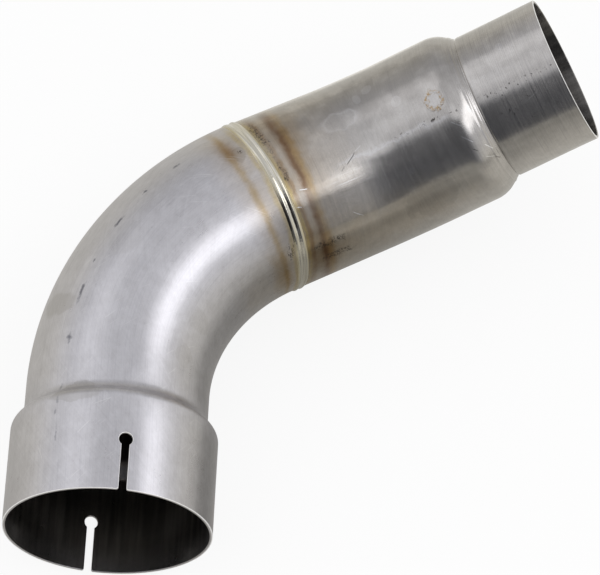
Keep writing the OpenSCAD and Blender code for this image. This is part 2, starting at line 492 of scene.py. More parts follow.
def band_faces(lower, upper):
    """Quads between two rows of point numbers, wrapped around the pipe."""
    count = len(lower)
    return [(lower[i], lower[(i + 1) % count], upper[(i + 1) % count], upper[i])
            for i in range(count)]


print(f"a column each {360 / COLUMNS} degrees, a row each {ROW_STEP} mm")


# %% [markdown]
# A punched and sawn keyhole has straight sides, a round end and small broken corners at the mouth. The
# outline below walks once around the socket's mouth and dips into both keyholes on its way, in
# millimetres on the unrolled outer skin.

# %% Outline of the mouth with its keyholes
CORNER_STEPS = 4
SIDE_STEPS = 20
HOLE_STEPS = 44
OUTLINE_GAP = 0.35


def keyhole_outline(centre):
    half, neck = SLOT_WIDTH / 2, asin(SLOT_WIDTH / 2 / SLOT_HOLE_R)
    points = [(-half - SLOT_CORNER, 0.0)]
    for step in range(1, CORNER_STEPS + 1):
        turn = pi / 2 * step / CORNER_STEPS
        points.append((-half - SLOT_CORNER * (1 - sin(turn)), SLOT_CORNER * (1 - cos(turn))))
    neck_s = SLOT_LENGTH - SLOT_HOLE_R * cos(neck)
    for step in range(1, SIDE_STEPS + 1):
        points.append((-half, SLOT_CORNER + (neck_s - SLOT_CORNER) * step / SIDE_STEPS))
    for step in range(1, HOLE_STEPS):
        turn = -pi / 2 - neck - (2 * pi - 2 * neck) * step / HOLE_STEPS
        points.append((SLOT_HOLE_R * cos(turn), SLOT_LENGTH + SLOT_HOLE_R * sin(turn)))
    right = [(-u, s) for u, s in reversed(points[:CORNER_STEPS + SIDE_STEPS + 1])]
    return [(centre + u, s) for u, s in points + right]


def mouth_outline():
    outline = []
    keyholes = sorted(angle * SOCKET_R for angle in SLOT_ANGLES)
    clear = SLOT_WIDTH / 2 + SLOT_CORNER + OUTLINE_GAP
    for column in range(COLUMNS + 1):
        u = column_angle(column) * SOCKET_R
        while keyholes and u > keyholes[0] - clear:
            outline += keyhole_outline(keyholes.pop(0))
        if all(abs(u - angle * SOCKET_R) > clear for angle in SLOT_ANGLES):
            outline.append((u, 0.0))
    return outline


MOUTH = mouth_outline()
print("the mouth's outline has", len(MOUTH), "points")


# %% [markdown]
# Sheet metal is never sharp after deburring, and a bright thin line shows around each cut, which the
# material strengthens with a painted highlight. So the edge is a set of rings: the outline is set back
# from the cut by the edge's radius on each skin, and comes forward to the cut in the middle of the wall.

# %% Rounded cut edges
EDGE_STEPS = 4
EDGE_FLAT = 0.14
MITRE_LIMIT = 0.6


def set_back(outline, back):
    """The outline moved into the metal, each point along the mean of its two edges' normals."""
    moved = []
    last = len(outline) - 1
    for i, (u, s) in enumerate(outline):
        before = outline[i - 1] if i > 0 else (u - 1, s)
        after = outline[i + 1] if i < last else (u + 1, s)
        first = Vector((u - before[0], s - before[1])).normalized()
        second = Vector((after[0] - u, after[1] - s)).normalized()
        normal = Vector((-(first.y + second.y), first.x + second.x)).normalized()
        stretch = 1 / max(MITRE_LIMIT, normal.dot(Vector((-first.y, first.x))))
        moved.append((u + normal.x * back * stretch, s + normal.y * back * stretch))
    return moved


def edge_rings():
    rings = [(EDGE + EDGE_FLAT, 0.0)]
    for step in range(EDGE_STEPS + 1):
        turn = pi / 2 * step / EDGE_STEPS
        rings.append((EDGE * (1 - sin(turn)), EDGE * (1 - cos(turn))))
    rings.append((0.0, WALL / 2))
    return rings + [(back, WALL - depth) for back, depth in reversed(rings[:-1])]


print("a cut edge is", len(edge_rings()), "rings")


# %% [markdown]
# The flat of the slotted front has an outline with two deep notches, which no even grid can follow. It is
# filled by a constrained Delaunay triangulation between that outline and the first full row. Evenly
# spread points inside keep its triangles small, and the shading even.

# %% Filling the slotted front
SHEET_END = 24.0
SHEET_ROWS = 20
SEAM_GAP = 0.4
BORDER_GAP = 0.62
KEYHOLE_GAP = 0.45
SAME_POINT = 1e-7


def in_keyhole(point):
    for angle in SLOT_ANGLES:
        u = point.x - angle * SOCKET_R
        in_hole = hypot(u, point.y - SLOT_LENGTH) < SLOT_HOLE_R + KEYHOLE_GAP
        if in_hole or (abs(u) < SLOT_WIDTH / 2 + KEYHOLE_GAP and point.y < SLOT_LENGTH):
            return True
    return False


def inner_points(border):
    """An even grid of points that keeps clear of the outline, the keyholes and the seam."""
    near = [Vector(p) for p in border]
    inner = []
    for row in range(1, SHEET_ROWS):
        for column in range(COLUMNS):
            point = Vector((column_angle(column) * SOCKET_R, SHEET_END * row / SHEET_ROWS))
            if abs(point.x) > pi * SOCKET_R - SEAM_GAP:
                continue
            close = any((point - p).length < BORDER_GAP for p in near if abs(p.x - point.x) < BORDER_GAP)
            if not close and not in_keyhole(point):
                inner.append(point)
    return inner


def fill_sheet(border):
    """Triangles of the flat sheet between the set-back outline and the first full row."""
    edge = pi * SOCKET_R
    side = [SHEET_END * i / SHEET_ROWS for i in range(1, SHEET_ROWS)]
    top = [(column_angle(c) * SOCKET_R, SHEET_END) for c in range(COLUMNS, -1, -1)]
    loop = border + [(edge, s) for s in side] + top + [(-edge, s) for s in reversed(side)]
    points = [Vector(p) for p in loop] + inner_points(border)
    made = delaunay_2d_cdt(points, [], [list(range(len(loop)))], 1, SAME_POINT)
    source = [ids[0] if ids else None for ids in made[3]]
    return points, [[source[i] for i in face] for face in made[2]], len(loop)


print(f"the slotted front ends {SHEET_END:.0f} mm in, past the keyholes")


# %% [markdown]
# The wall is one closed skin. It runs out from the slotted front along the outside to the weld, turns
# there and comes back along the inside, and the rings of the cut edge join both skins at the mouth. The
# seam of the flat sheet shares its points, so that nothing is left open once it is rolled.

# %% The sheet of the bent tube
def inlet_tube_sheet():
    rings = edge_rings()
    border = set_back(MOUTH, rings[0][0])
    border[0], border[-1] = (-pi * SOCKET_R, border[0][1]), (pi * SOCKET_R, border[-1][1])
    points, triangles, loop_count = fill_sheet(border)
    border_count, side = len(border), SHEET_ROWS - 1
    vertices, faces = [], []

    def skin(depth):
        """Adds one skin's points and returns the number of each, with both sides of the seam shared."""
        numbers = []
        for u, s in points:
            numbers.append(len(vertices))
            vertices.append((u / SOCKET_R, s, SOCKET_R - depth))
        right = list(range(border_count, border_count + side))
        left = list(range(loop_count - side, loop_count))[::-1]
        for a, b in zip(right, left):
            numbers[a] = numbers[b]
        numbers[border_count - 1] = numbers[0]
        numbers[border_count + side] = numbers[loop_count - side - 1]
        return numbers

    outer, inner = skin(0.0), skin(WALL)
    faces += [tuple(outer[i] for i in face) for face in triangles]
    faces += [tuple(inner[i] for i in reversed(face)) for face in triangles]
    previous = outer[:border_count - 1]
    for back, depth in rings[1:-1]:
        ring = []
        for u, s in set_back(MOUTH, back)[:-1]:
            ring.append(len(vertices))
            vertices.append((u / SOCKET_R, s, SOCKET_R - depth))
        faces += band_faces(ring, previous)
        previous = ring
    faces += band_faces(inner[:border_count - 1], previous)

    top = range(border_count + side, border_count + side + COLUMNS + 1)
    row = [outer[i] for i in top][::-1][:COLUMNS]
    end_row = [inner[i] for i in top][::-1][:COLUMNS]
    for s, r in inlet_rows()[1:-1]:
        above = list(range(len(vertices), len(vertices) + COLUMNS))
        vertices.extend((column_angle(c), s, r) for c in range(COLUMNS))
        faces += band_faces(row, above)
        row = above
    faces += band_faces(row, end_row)
    return vertices, faces


def inlet_skin(depth):
    soft_end = SOFT_START + shoulder_arcs(SOCKET_R, TUBE_R, SOFT_SOCKET_SHOULDER)[2]
    return joined(
        rows_between(SHEET_END, SOFT_START, SOCKET_R - depth, SOCKET_R - depth),
        shoulder_points(SOFT_START, SOCKET_R, TUBE_R, SOFT_SOCKET_SHOULDER, depth),
        rows_between(soft_end, WELD_S - ROOT_GAP / 2, TUBE_R - depth, TUBE_R - depth))


def inlet_rows():
    """Section of the wall past the slotted front: the outer skin out to the weld, and the inner back."""
    return inlet_skin(0.0) + inlet_skin(WALL)[::-1]


print("the bent tube's section has", len(inlet_rows()), "rows")


# %% [markdown]
# The sleeve is one closed section turned all the way round: out along the outer skin, over the rounded
# rim and back along the inner one. The same rounding as on the slots gives its rim the bright line, and
# the same painted highlight lies on it. The die that drew the spigot left a fine ring and a groove at its
# shoulder, and a reflection shows them although they are a fraction of a millimetre, so they are real rows
# of the section and not a bump.

# %% The sleeve and its spigot
RIM_GAP = 0.15
DRAW_LINES = [(-2.2, 0.75, 0.20), (-0.5, 0.70, -0.34)]
FINE_STEP = 0.22
FINE_BEFORE, FINE_PAST = 4, 1
SHOULDER_STEPS = 16


def rim_rows():
    rows = []
    for step in range(EDGE_STEPS + 1):
        turn = pi / 2 * step / EDGE_STEPS
        rows.append((PIPE_END - EDGE * (1 - sin(turn)), SPIGOT_R - EDGE * (1 - cos(turn))))
    inner = [(s, 2 * SPIGOT_R - WALL - r) for s, r in reversed(rows)]
    return rows + [(PIPE_END, SPIGOT_R - WALL / 2)] + inner


def draw_line(s):
    """The ring and the groove: each has a place from the shoulder's end, a half width and a height."""
    return sum(height * hump(s, SPIGOT_START + place, width) for place, width, height in DRAW_LINES)


def hump(t, middle, half_width):
    away = abs(t - middle) / half_width
    return (1 + cos(pi * away)) / 2 if away < 1 else 0.0


def finer(rows, start, end):
    """The same section with extra rows between start and end."""
    fine = []
    for (s0, r0), (s1, r1) in zip(rows, rows[1:]):
        count = max(1, round((s1 - s0) / FINE_STEP)) if start < (s0 + s1) / 2 < end else 1
        fine += [(s0 + (s1 - s0) * i / count, r0 + (r1 - r0) * i / count) for i in range(count)]
    return fine + [rows[-1]]


def sleeve_skin(depth):
    rows = joined(
        rows_between(WELD_S + ROOT_GAP / 2, SLEEVE_BEND_START, TUBE_R - depth, SLEEVE_R - depth),
        rows_between(SLEEVE_BEND_START, SHOULDER_START, SLEEVE_R - depth, SLEEVE_R - depth),
        shoulder_points(SHOULDER_START, SLEEVE_R, SPIGOT_R, SPIGOT_SHOULDER, depth, SHOULDER_STEPS),
        rows_between(SPIGOT_START, PIPE_END - EDGE - RIM_GAP, SPIGOT_R - depth, SPIGOT_R - depth))
    if depth > 0:
        return rows
    fine = finer(rows, SPIGOT_START - FINE_BEFORE, SPIGOT_START + FINE_PAST)
    return [(s, r + draw_line(s)) for s, r in fine]


def turned_sheet(section, columns=COLUMNS):
    vertices, faces = [], []
    rows = []
    for s, r in section:
        rows.append(list(range(len(vertices), len(vertices) + columns)))
        vertices.extend((-pi + 2 * pi * c / columns, s, r) for c in range(columns))
    for i in range(len(rows)):
        faces += band_faces(rows[i], rows[(i + 1) % len(rows)])
    return vertices, faces


def sleeve_sheet():
    return turned_sheet(joined(sleeve_skin(0.0), rim_rows(), sleeve_skin(WALL)[::-1]))


print("the sleeve's outer skin has", len(sleeve_skin(0.0)), "rows")


# %% [markdown]
# The weld was laid in two passes, which left two low humps side by side outside and a smaller root inside.
# Its section is turned like the sleeve's, with columns close enough together for the ripples that the
# node tree then raises. It sinks a little into the tubes, so that no gap shows at its toes.

# %% The weld bead
BEAD_COLUMNS = 720
CROWN_STEPS = 32
ROOT_STEPS = 8
BEAD_SINK = 0.04
BEAD_ARCH = 0.30
BEAD_HUMPS = [(-0.48, 0.50, 0.72), (0.54, 0.46, 0.70)]


def bead_crown(t):
    """Height over the tube at t from -1 to 1 across, in millimetres."""
    height = BEAD_ARCH * (1 - t ** 6)
    for middle, half_width, share in BEAD_HUMPS:
        height += share * hump(t, middle, half_width)
    return BEAD_HEIGHT * height


def spread(steps):
    return [2 * i / steps - 1 for i in range(steps + 1)]


def bead_sheet():
    crown = [(WELD_S + BEAD_WIDTH / 2 * t, TUBE_R - BEAD_SINK + bead_crown(t)) for t in spread(CROWN_STEPS)]
    root = [(WELD_S - ROOT_WIDTH / 2 * t, TUBE_R - WALL + BEAD_SINK - ROOT_HEIGHT * (1 - t * t))
            for t in spread(ROOT_STEPS)]
    return turned_sheet(crown + root, BEAD_COLUMNS)


print(f"the bead stands {max(bead_crown(t) for t in spread(CROWN_STEPS)):.2f} mm over the tube")


# %% [markdown]
# Satin stainless is a warm grey metal with fine brushing. Everything on it follows the tube and not the
# picture, so each material first reads its place on the straight pipe: the distance s along it and the
# angle around it. The shader also needs the tube's heading, to know which way the brushing runs.

# %% Reading the place on the pipe
def pipe_place(tree):
    """The straight pipe's coordinates in millimetres, with s and the angle around, in degrees."""
    stored = add_node(tree, "ShaderNodeAttribute", attribute_name="pipe").outputs["Vector"]
    place = vector_calc(tree, "SCALE", stored, scale=1 / MM)
    x, s, z = add_node(tree, "ShaderNodeSeparateXYZ", {0: place}).outputs
    around = calc(tree, "MULTIPLY", calc(tree, "ARCTAN2", z, x), 180 / pi)
    return place, s, around


def pipe_heading(tree, s):
    """The pipe's direction at s on the bent pipe, for the shader to know which way is around."""
    turned = calc(tree, "DIVIDE", calc(tree, "SUBTRACT", s, BEND_START), BEND_R)
    turned = calc(tree, "MINIMUM", calc(tree, "MAXIMUM", turned, 0.0), BEND_ANGLE)
    share = calc(tree, "DIVIDE", calc(tree, "SUBTRACT", s, SLEEVE_BEND_START),
                 SLEEVE_BEND_END - SLEEVE_BEND_START, clamp=True)
    start = Vector((sin(BEND_ANGLE), cos(BEND_ANGLE), 0.0))
    side = Vector((cos(BEND_ANGLE), -sin(BEND_ANGLE), 0.0)) * cos(SLEEVE_BEND_TURN)
    side.z = sin(SLEEVE_BEND_TURN)
    change = start * (cos(SLEEVE_BEND_ANGLE) - 1) + side * sin(SLEEVE_BEND_ANGLE)
    first = combine(tree, calc(tree, "SINE", turned), calc(tree, "COSINE", turned), 0.0)
    return vector_calc(tree, "ADD", first, vector_calc(tree, "SCALE", tuple(change), scale=share))


def brushed_along(tree, s, lengthwise):
    """Tangent for the brushing: the highlight spreads square to the scratches."""
    heading = pipe_heading(tree, s)
    normal = tree.nodes.new("ShaderNodeNewGeometry").outputs["Normal"]
    around = vector_calc(tree, "NORMALIZE", vector_calc(tree, "CROSS_PRODUCT", heading, normal))
    return around if lengthwise else vector_calc(tree, "NORMALIZE", heading)


print("the materials read s in millimetres and the angle around in degrees")


# %% [markdown]
# Brushing, stains and tint are noise or distance turned into a share from 0 to 1, and that share blends a
# tone in. Dirt covers the metal, so its tone is laid over. A film of oxide lets the metal shine through,
# so its tone is multiplied with the metal's.

# %% Patterns and blends
def grained(tree, place, across, along, detail=2.0, roughness=0.5):
    """Noise with one scale across the tube and another along it."""
    pulled = vector_calc(tree, "MULTIPLY", place, (across, along, across))
    return noise(tree, pulled, 1.0, detail, roughness)


def ragged(tree, place, scale, reach, detail=2.0):
    """Noise that swings evenly about 0, for an outline that wavers."""
    return calc(tree, "MULTIPLY_ADD", noise(tree, place, scale, detail), reach, -reach / 2)


def bump_at(tree, value, middle, width):
    """1 at the middle, falling smoothly to 0 at the given distance from it."""
    return ramp(tree, distance(tree, value, middle), 0.0, width, 1.0, 0.0)


def mixed(tree, colour, tone, share, blend):
    made = add_node(tree, "ShaderNodeMix", {"Factor": share}, data_type="RGBA", blend_type=blend)
    for socket, value in ((made.inputs[6], colour), (made.inputs[7], tone)):
        if isinstance(value, bpy.types.NodeSocket):
            tree.links.new(value, socket)
        else:
            socket.default_value = (*value, 1.0)
    return made.outputs[2]


def tinted(tree, colour, tone, share):
    return mixed(tree, colour, tone, share, "MIX")


def filtered(tree, colour, tone, share):
    return mixed(tree, colour, tone, share, "MULTIPLY")


print("tones are laid over the metal or multiplied with it")


# %% [markdown]
# A metal takes most of its look from the room, so its own tones are all near one another: a dark and a
# pale one for each tube, which the grain blends between. The sleeve is warmer and darker than the bent
# tube. A deburred edge with its painted highlight is almost white, soot and the painted dark reflections
# at the weld's toes are almost black, and the painted shade inside the bore is dark grey.

# %% Tones of the metal
TUBE_DARK = (0.555, 0.54, 0.545)
TUBE_PALE = (0.665, 0.65, 0.66)
TURNED_DARK = (0.50, 0.477, 0.444)
TURNED_PALE = (0.622, 0.597, 0.562)
DRIED_PALE = (0.70, 0.685, 0.67)
DULL_STAIN = (0.42, 0.40, 0.375)
SMOKED_STEEL = (0.355, 0.335, 0.31)
# Bright scratches and burrs, and also the painted highlight on cut edges.
BURR_AND_HIGHLIGHT = (0.93, 0.92, 0.90)
SEAM_GREY = (0.17, 0.17, 0.19)
# Soot, and also the tone of the painted dark reflections at the weld's toes.
SOOT_AND_DARK_REFLECTION = (0.05, 0.042, 0.036)
GOLD_SPOT = (0.42, 0.27, 0.10)
BORE_SHADE = (0.20, 0.19, 0.18)
print("the bent tube's two tones are", TUBE_DARK, "and", TUBE_PALE)


# %% [markdown]
# Water and oil dried on the metal in drops and films. One function draws an oval patch on the unrolled
# skin, and every stain is one call of it. Noise bends the outline, because a drop never dries to a clean
# ellipse, and some drops left a brighter outline than their middle.

# %% Ovals on the unrolled skin
SOFT_EDGE = 0.12


def spot(s, at, long, wide, share=1.0, **more):
    """A mark's middle as s and angle, its half sizes along and around, and how strong it is."""
    return dict(s=s, at=at, long=long, wide=wide, share=share, **more)


def oval(tree, s, around, mark, wander):
    """Distance from a mark in units of its own size, so that 1 is its outline."""
    du = calc(tree, "DIVIDE", calc(tree, "SUBTRACT", s, mark["s"]), mark["long"])
    dv = calc(tree, "MULTIPLY", calc(tree, "SUBTRACT", around, mark["at"]), TUBE_R * pi / 180 / mark["wide"])
    away = calc(tree, "SQRT", calc(tree, "MULTIPLY_ADD", du, du, calc(tree, "MULTIPLY", dv, dv)))
    return calc(tree, "ADD", away, wander)


def patch(tree, s, around, mark, wander, edge=SOFT_EDGE):
    """1 inside the oval and 0 outside it, with a crisp edge unless the mark has a softer one."""
    return ramp(tree, oval(tree, s, around, mark, wander), 1.0, 1.0 - mark.get("edge", edge))


print(f"a stain fades over {SOFT_EDGE:.0%} of its size at the edge")


# %% [markdown]
# Pale stains are dried water, dull ones are oil, and the long smoked patch is where the sleeve lay in the
# weld's fumes. Each has its own place along and around the pipe. One waver is shared by all of them.

# %% Stains
PALE_STAINS = [
    spot(171, 95, 9, 4, 0.16, outline=0.22),
    spot(182, 107, 2.2, 2.6, 0.2),
    spot(198, 91, 2, 2.2, 0.16, outline=0.06),
    spot(188, 111, 3, 2, 0.2),
    spot(28, 33, 3, 3, 0.15, outline=0.2),
    spot(193, 45, 1.4, 1.6, 0.3),
    spot(236, 101, 1.4, 2.0, 0.25),
    spot(158, 124, 3, 3, 0.15),
    spot(12, 117, 2.4, 2.4, 0.0, outline=0.14),
]
DULL_STAINS = [
    spot(67, 137, 4.5, 9, 0.38, edge=0.3),
    spot(90, 108, 6, 6, 0.12),
    spot(35, 108, 5, 8, 0.4),
    spot(56, 41, 6, 4, 0.22),
    spot(195, 20, 13, 8, 0.38),
    spot(75, 36, 5, 5, 0.16),
    spot(134, 101, 3.0, 4, 0.45),
]
SMOKED = [spot(190, 106, 72, 15, 0.85, edge=0.95)]
STAIN_WAVES = 0.16
STAIN_RAGGED = 1.3
OUTLINE_AT = 0.92
OUTLINE_WIDTH = 0.22


def with_stains(tree, colour, s, around, place, stains, tone):
    """Blend each stain in; where it has an outline, that dried brighter than the middle."""
    wander = ragged(tree, place, STAIN_WAVES, STAIN_RAGGED, 3.0)
    for stain in stains:
        share = times(tree, patch(tree, s, around, stain, wander), stain["share"])
        if "outline" in stain:
            ring = bump_at(tree, oval(tree, s, around, stain, wander), OUTLINE_AT, OUTLINE_WIDTH)
            share = calc(tree, "MULTIPLY_ADD", ring, stain["outline"], share)
        colour = tinted(tree, colour, tone, share)
    return colour


print(len(PALE_STAINS), "pale stains and", len(DULL_STAINS), "dull ones")


# %% [markdown]
# The strip that the inlet tube was rolled from has a seam of its own, and the bending tools rubbed dark
# blots along it. They are nearly in one line, so they are a list of long narrow ovals joined by taking
# the strongest at each place. Past the socket the blots are darker.

# %% The tube's own seam
SEAM_BLOTS = [
    spot(28, 118, 1.2, 0.6),
    spot(38.5, 120, 2.6, 0.7),
    spot(20, 116.5, 3.4, 0.5),
    spot(32, 117.5, 1.6, 0.7),
    spot(55, 118, 2.2, 1.2),
    spot(69.5, 118.5, 4.4, 0.9),
    spot(80, 119.5, 1.4, 0.7),
    spot(94, 120.5, 2.8, 0.8),
    spot(105.5, 121.5, 1.6, 0.7),
    spot(117.5, 122, 1.5, 0.9),
]
BLOT_EDGE = 0.9
BLOT_RAGGED = 2.2
FAINT_BLOT = 0.46
MORE_ON_TUBE = 0.40
PAST_SOCKET = (40, 60)


def with_seam(tree, colour, s, around, place):
    uneven = ragged(tree, place, 0.7, BLOT_RAGGED)
    dark = 0.0
    for blot in SEAM_BLOTS:
        dark = calc(tree, "MAXIMUM", dark, patch(tree, s, around, blot, uneven, BLOT_EDGE))
    share = calc(tree, "MULTIPLY_ADD", ramp(tree, s, *PAST_SOCKET), MORE_ON_TUBE, FAINT_BLOT)
    return tinted(tree, colour, SEAM_GREY, times(tree, dark, share))


print(len(SEAM_BLOTS), "blots along the seam")


# %% [markdown]
# The sleeve has marks that the bent tube lacks. A film of water left a ragged pale line along it when it
# dried. The spigot is pitted where another pipe sat on it, small dark pits follow one line on its top,
# and beside the weld a tool left bright scratches lengthways.

# %% Marks of the sleeve
PITTED = spot(236, 56, 15, 11, edge=0.3)
STREAKED = spot(164, 53, 17, 6.5, edge=0.9)
TIDE_LINE = 67.5
TIDE_RAGGED = 11.0
TIDE_WIDTH = 2.4
TIDE_STARTS, TIDE_STOPS = (158, 168), (214, 210)
SPECK_LINE = 69.0
SPECK_WIDTH = 2.6
SPECKS_START = (185, 205)


def with_tide_line(tree, colour, s, around, place):
    """The ragged pale edge that a film of water left when it dried along the sleeve."""
    wavering = calc(tree, "MULTIPLY_ADD", noise(tree, place, 0.13, 4.0, 0.7), TIDE_RAGGED,
                    calc(tree, "ADD", around, -TIDE_RAGGED / 2))
    line = bump_at(tree, wavering, TIDE_LINE, TIDE_WIDTH)
    share = times(tree, line, ramp(tree, s, *TIDE_STARTS), ramp(tree, s, *TIDE_STOPS), 0.6)
    return tinted(tree, colour, DRIED_PALE, share)


def with_pits_and_streaks(tree, colour, s, around, place):
    pits = ramp(tree, noise(tree, place, 0.8, 2.0), 0.68, 0.73)
    colour = tinted(tree, colour, SOOT_AND_DARK_REFLECTION, times(tree, pits, patch(tree, s, around, PITTED, 0.0), 0.8))
    lines = ramp(tree, grained(tree, place, 2.6, 0.05), 0.52, 0.68)
    bright = times(tree, lines, patch(tree, s, around, STREAKED, 0.0), 0.3)
    return tinted(tree, colour, BURR_AND_HIGHLIGHT, bright)


def with_sleeve_specks(tree, colour, s, around, place):
    """Small dark pits that follow one line along the sleeve and the spigot."""
    line = bump_at(tree, around, SPECK_LINE, SPECK_WIDTH)
    dots = ramp(tree, noise(tree, place, 0.75, 3.0, 0.6), 0.58, 0.64)
    return tinted(tree, colour, SOOT_AND_DARK_REFLECTION, times(tree, line, dots, ramp(tree, s, *SPECKS_START)))


print(f"the tide line lies {TIDE_LINE} degrees around, the specks at {SPECK_LINE}")


# %% [markdown]
# Heat tint is a ruler of temperature: it depends on the distance to the weld. Each band of oxide is a
# filter over the metal, and a little noise makes the bands waver as the torch did. Straw lies furthest
# out where the metal was coolest and brown nearer in. Broad brown clouds lie where the heat stayed longer.

# %% Heat tint beside the weld
OXIDE_BANDS = [
    (-8.9, 2.5, (0.84, 0.73, 0.54)),
    (-11, 9, (0.97, 0.93, 0.87)),
    (-6.0, 9, (1.0, 0.96, 0.88)),
    (13, 26, (1.0, 0.96, 0.90)),
    (-2.7, 1.7, (1.00, 0.92, 0.66)),
    (2.7, 1.3, (1.00, 0.90, 0.56)),
    (4.1, 1.5, (0.72, 0.60, 0.46)),
    (6.0, 14, (0.94, 0.88, 0.80)),
    (8.3, 2.1, (0.53, 0.41, 0.335)),
    (10.1, 2.7, (0.86, 0.72, 0.50)),
]
BROWN_CLOUDS = [
    (spot(131.5, 106, 5.0, 11, edge=0.95), (0.74, 0.63, 0.52)),
    (spot(129, 12, 9, 16, edge=0.95), (0.82, 0.74, 0.62)),
    (spot(148, 14, 9, 15, edge=0.95), (0.66, 0.58, 0.48)),
    (spot(151, 100, 9, 16, edge=0.9), (0.84, 0.78, 0.70)),
    (spot(118, 6, 24, 19, edge=0.95), (1.0, 0.96, 0.88)),
    (spot(178, 16, 46, 17, edge=0.95), (1.02, 0.97, 0.90)),
]
SLOW_WAVER = 2.6
FINE_WAVER = 1.3
COOLER_SIDE = (136, 118)


def waver(tree, place, scale):
    return calc(tree, "SUBTRACT", noise(tree, place, scale, 3.0, 0.6), 0.5)


def with_heat_tint(tree, colour, s, around, place):
    """Each band has its middle and half width from the weld, in millimetres, and its filter."""
    slow = waver(tree, place, 0.11)
    away = calc(tree, "MULTIPLY_ADD", slow, SLOW_WAVER, calc(tree, "SUBTRACT", s, WELD_S))
    away = calc(tree, "MULTIPLY_ADD", waver(tree, place, 0.45), FINE_WAVER, away)
    patchy = ramp(tree, noise(tree, place, 0.09, 3.0, 0.6), 0.28, 0.60)
    patchy = calc(tree, "MULTIPLY_ADD", patchy, 0.45, 0.55)
    cooler = calc(tree, "MULTIPLY_ADD", ramp(tree, around, *COOLER_SIDE), 0.5, 0.5)
    strength = times(tree, patchy, cooler)
    for middle, half_width, oxide in OXIDE_BANDS:
        share = times(tree, bump_at(tree, away, middle, half_width), strength)
        colour = filtered(tree, colour, oxide, share)
    for cloud, oxide in BROWN_CLOUDS:
        colour = filtered(tree, colour, oxide, patch(tree, s, around, cloud, times(tree, slow, 0.8)))
    return colour


print(len(OXIDE_BANDS), "bands of oxide and", len(BROWN_CLOUDS), "brown clouds")


# %% [markdown]
# Soot is made of tiny rings and specks, left where spatter and oil burnt. Six places beside the weld have
# them: rings from the cells of a Voronoi texture, and specks from fine noise with a high threshold. The
# oval mark near the spigot is a tack that was ground away: a pale middle in a gold ring.

# %% Soot and the ground tack
SOOT_PLACES = [
    spot(150, 21, 8, 2.2),
    spot(152, 9, 7, 2.4),
    spot(136, 27, 2.2, 4),
    spot(143.5, 110, 1.7, 12),
    spot(143.6, 76, 1.2, 5),
    spot(135, 103, 1.5, 1.2),
]
SOOT_EDGE = 0.6
SOOT_SHARE = 0.8
TACK = spot(210, 80.5, 3.0, 3.7)
TACK_RAGGED = 1.1


def with_soot(tree, colour, s, around, place):
    cells = add_node(tree, "ShaderNodeTexVoronoi", {"Vector": place, "Scale": 0.95}, feature="F1").outputs[0]
    rings = bump_at(tree, cells, 0.42, 0.16)
    dots = ramp(tree, noise(tree, place, 1.3, 2.0), 0.56, 0.66)
    marks = calc(tree, "MAXIMUM", rings, dots)
    loose = ragged(tree, place, 0.5, 1.6)
    area = 0.0
    for soot in SOOT_PLACES:
        area = calc(tree, "MAXIMUM", area, patch(tree, s, around, soot, loose, SOOT_EDGE))
    return tinted(tree, colour, SOOT_AND_DARK_REFLECTION, times(tree, marks, area, SOOT_SHARE))


def with_tack(tree, colour, s, around, place):
    """The ground tack; its ring stands a little proud, so it is handed back as well."""
    away = oval(tree, s, around, TACK, ragged(tree, place, 0.7, TACK_RAGGED, 3.0))
    colour = tinted(tree, colour, DRIED_PALE, times(tree, ramp(tree, away, 1.0, 0.4), 0.30))
    ring = bump_at(tree, away, 0.84, 0.34)
    gold = ramp(tree, noise(tree, place, 0.9, 3.0, 0.7), 0.42, 0.60)
    return tinted(tree, colour, GOLD_SPOT, times(tree, gold, ring, 0.85)), ring


print(len(SOOT_PLACES), "sooty places, and one tack", TACK["s"], "mm along the pipe")


# %% [markdown]
# Fine scratches are noise pulled out so far that only thin lines pass a high threshold. Those on the
# socket cross the tube at a slant, so their noise is twisted around the pipe before it is stretched.
# The few deep scratches are drawn one by one, each from one place on the skin to another.

# %% Scratches
SCRATCH_FADE = 0.04
LINE_OUTER = 1.6
LINE_INNER = 0.5
LINE_END = 0.8
LINE_MARKS = [
    (161.5, 62.5, 163.6, 65.5, 0.08, SOOT_AND_DARK_REFLECTION, 0.5),
    (164.2, 65.5, 169.0, 71.5, 0.13, SOOT_AND_DARK_REFLECTION, 0.8),
    (169.0, 71.5, 174.0, 74.0, 0.10, BURR_AND_HIGHLIGHT, 0.4),
    (145.6, 62.5, 149.0, 61.0, 0.14, BURR_AND_HIGHLIGHT, 0.9),
    (142.4, 53.0, 144.6, 51.5, 0.14, BURR_AND_HIGHLIGHT, 0.9),
    (160.5, 36.0, 163.0, 31.0, 0.11, BURR_AND_HIGHLIGHT, 0.7),
    (161.6, 34.0, 164.2, 29.5, 0.11, BURR_AND_HIGHLIGHT, 0.6),
    (213.0, 52.0, 216.0, 44.0, 0.14, BURR_AND_HIGHLIGHT, 0.7),
    (212.0, 63.0, 215.0, 57.0, 0.14, BURR_AND_HIGHLIGHT, 0.7),
    (218.5, 39.0, 220.5, 31.0, 0.14, BURR_AND_HIGHLIGHT, 0.7),
    (217.0, 31.0, 220.0, 25.0, 0.12, BURR_AND_HIGHLIGHT, 0.6),
    (214.5, 41.0, 216.0, 37.0, 0.14, SOOT_AND_DARK_REFLECTION, 0.6),
    (219.6, 26.0, 221.0, 20.0, 0.12, SOOT_AND_DARK_REFLECTION, 0.5),
    (226.0, 152.0, 227.0, 148.0, 0.20, SOOT_AND_DARK_REFLECTION, 0.6),
    (236.0, 52.0, 242.0, 56.0, 0.08, BURR_AND_HIGHLIGHT, 0.5),
    (19.0, 104.0, 23.5, 97.0, 0.09, BURR_AND_HIGHLIGHT, 0.35),
    (29.0, 96.0, 31.5, 86.0, 0.09, BURR_AND_HIGHLIGHT, 0.3),
    (12.0, 124.0, 17.0, 128.0, 0.09, BURR_AND_HIGHLIGHT, 0.3),
]


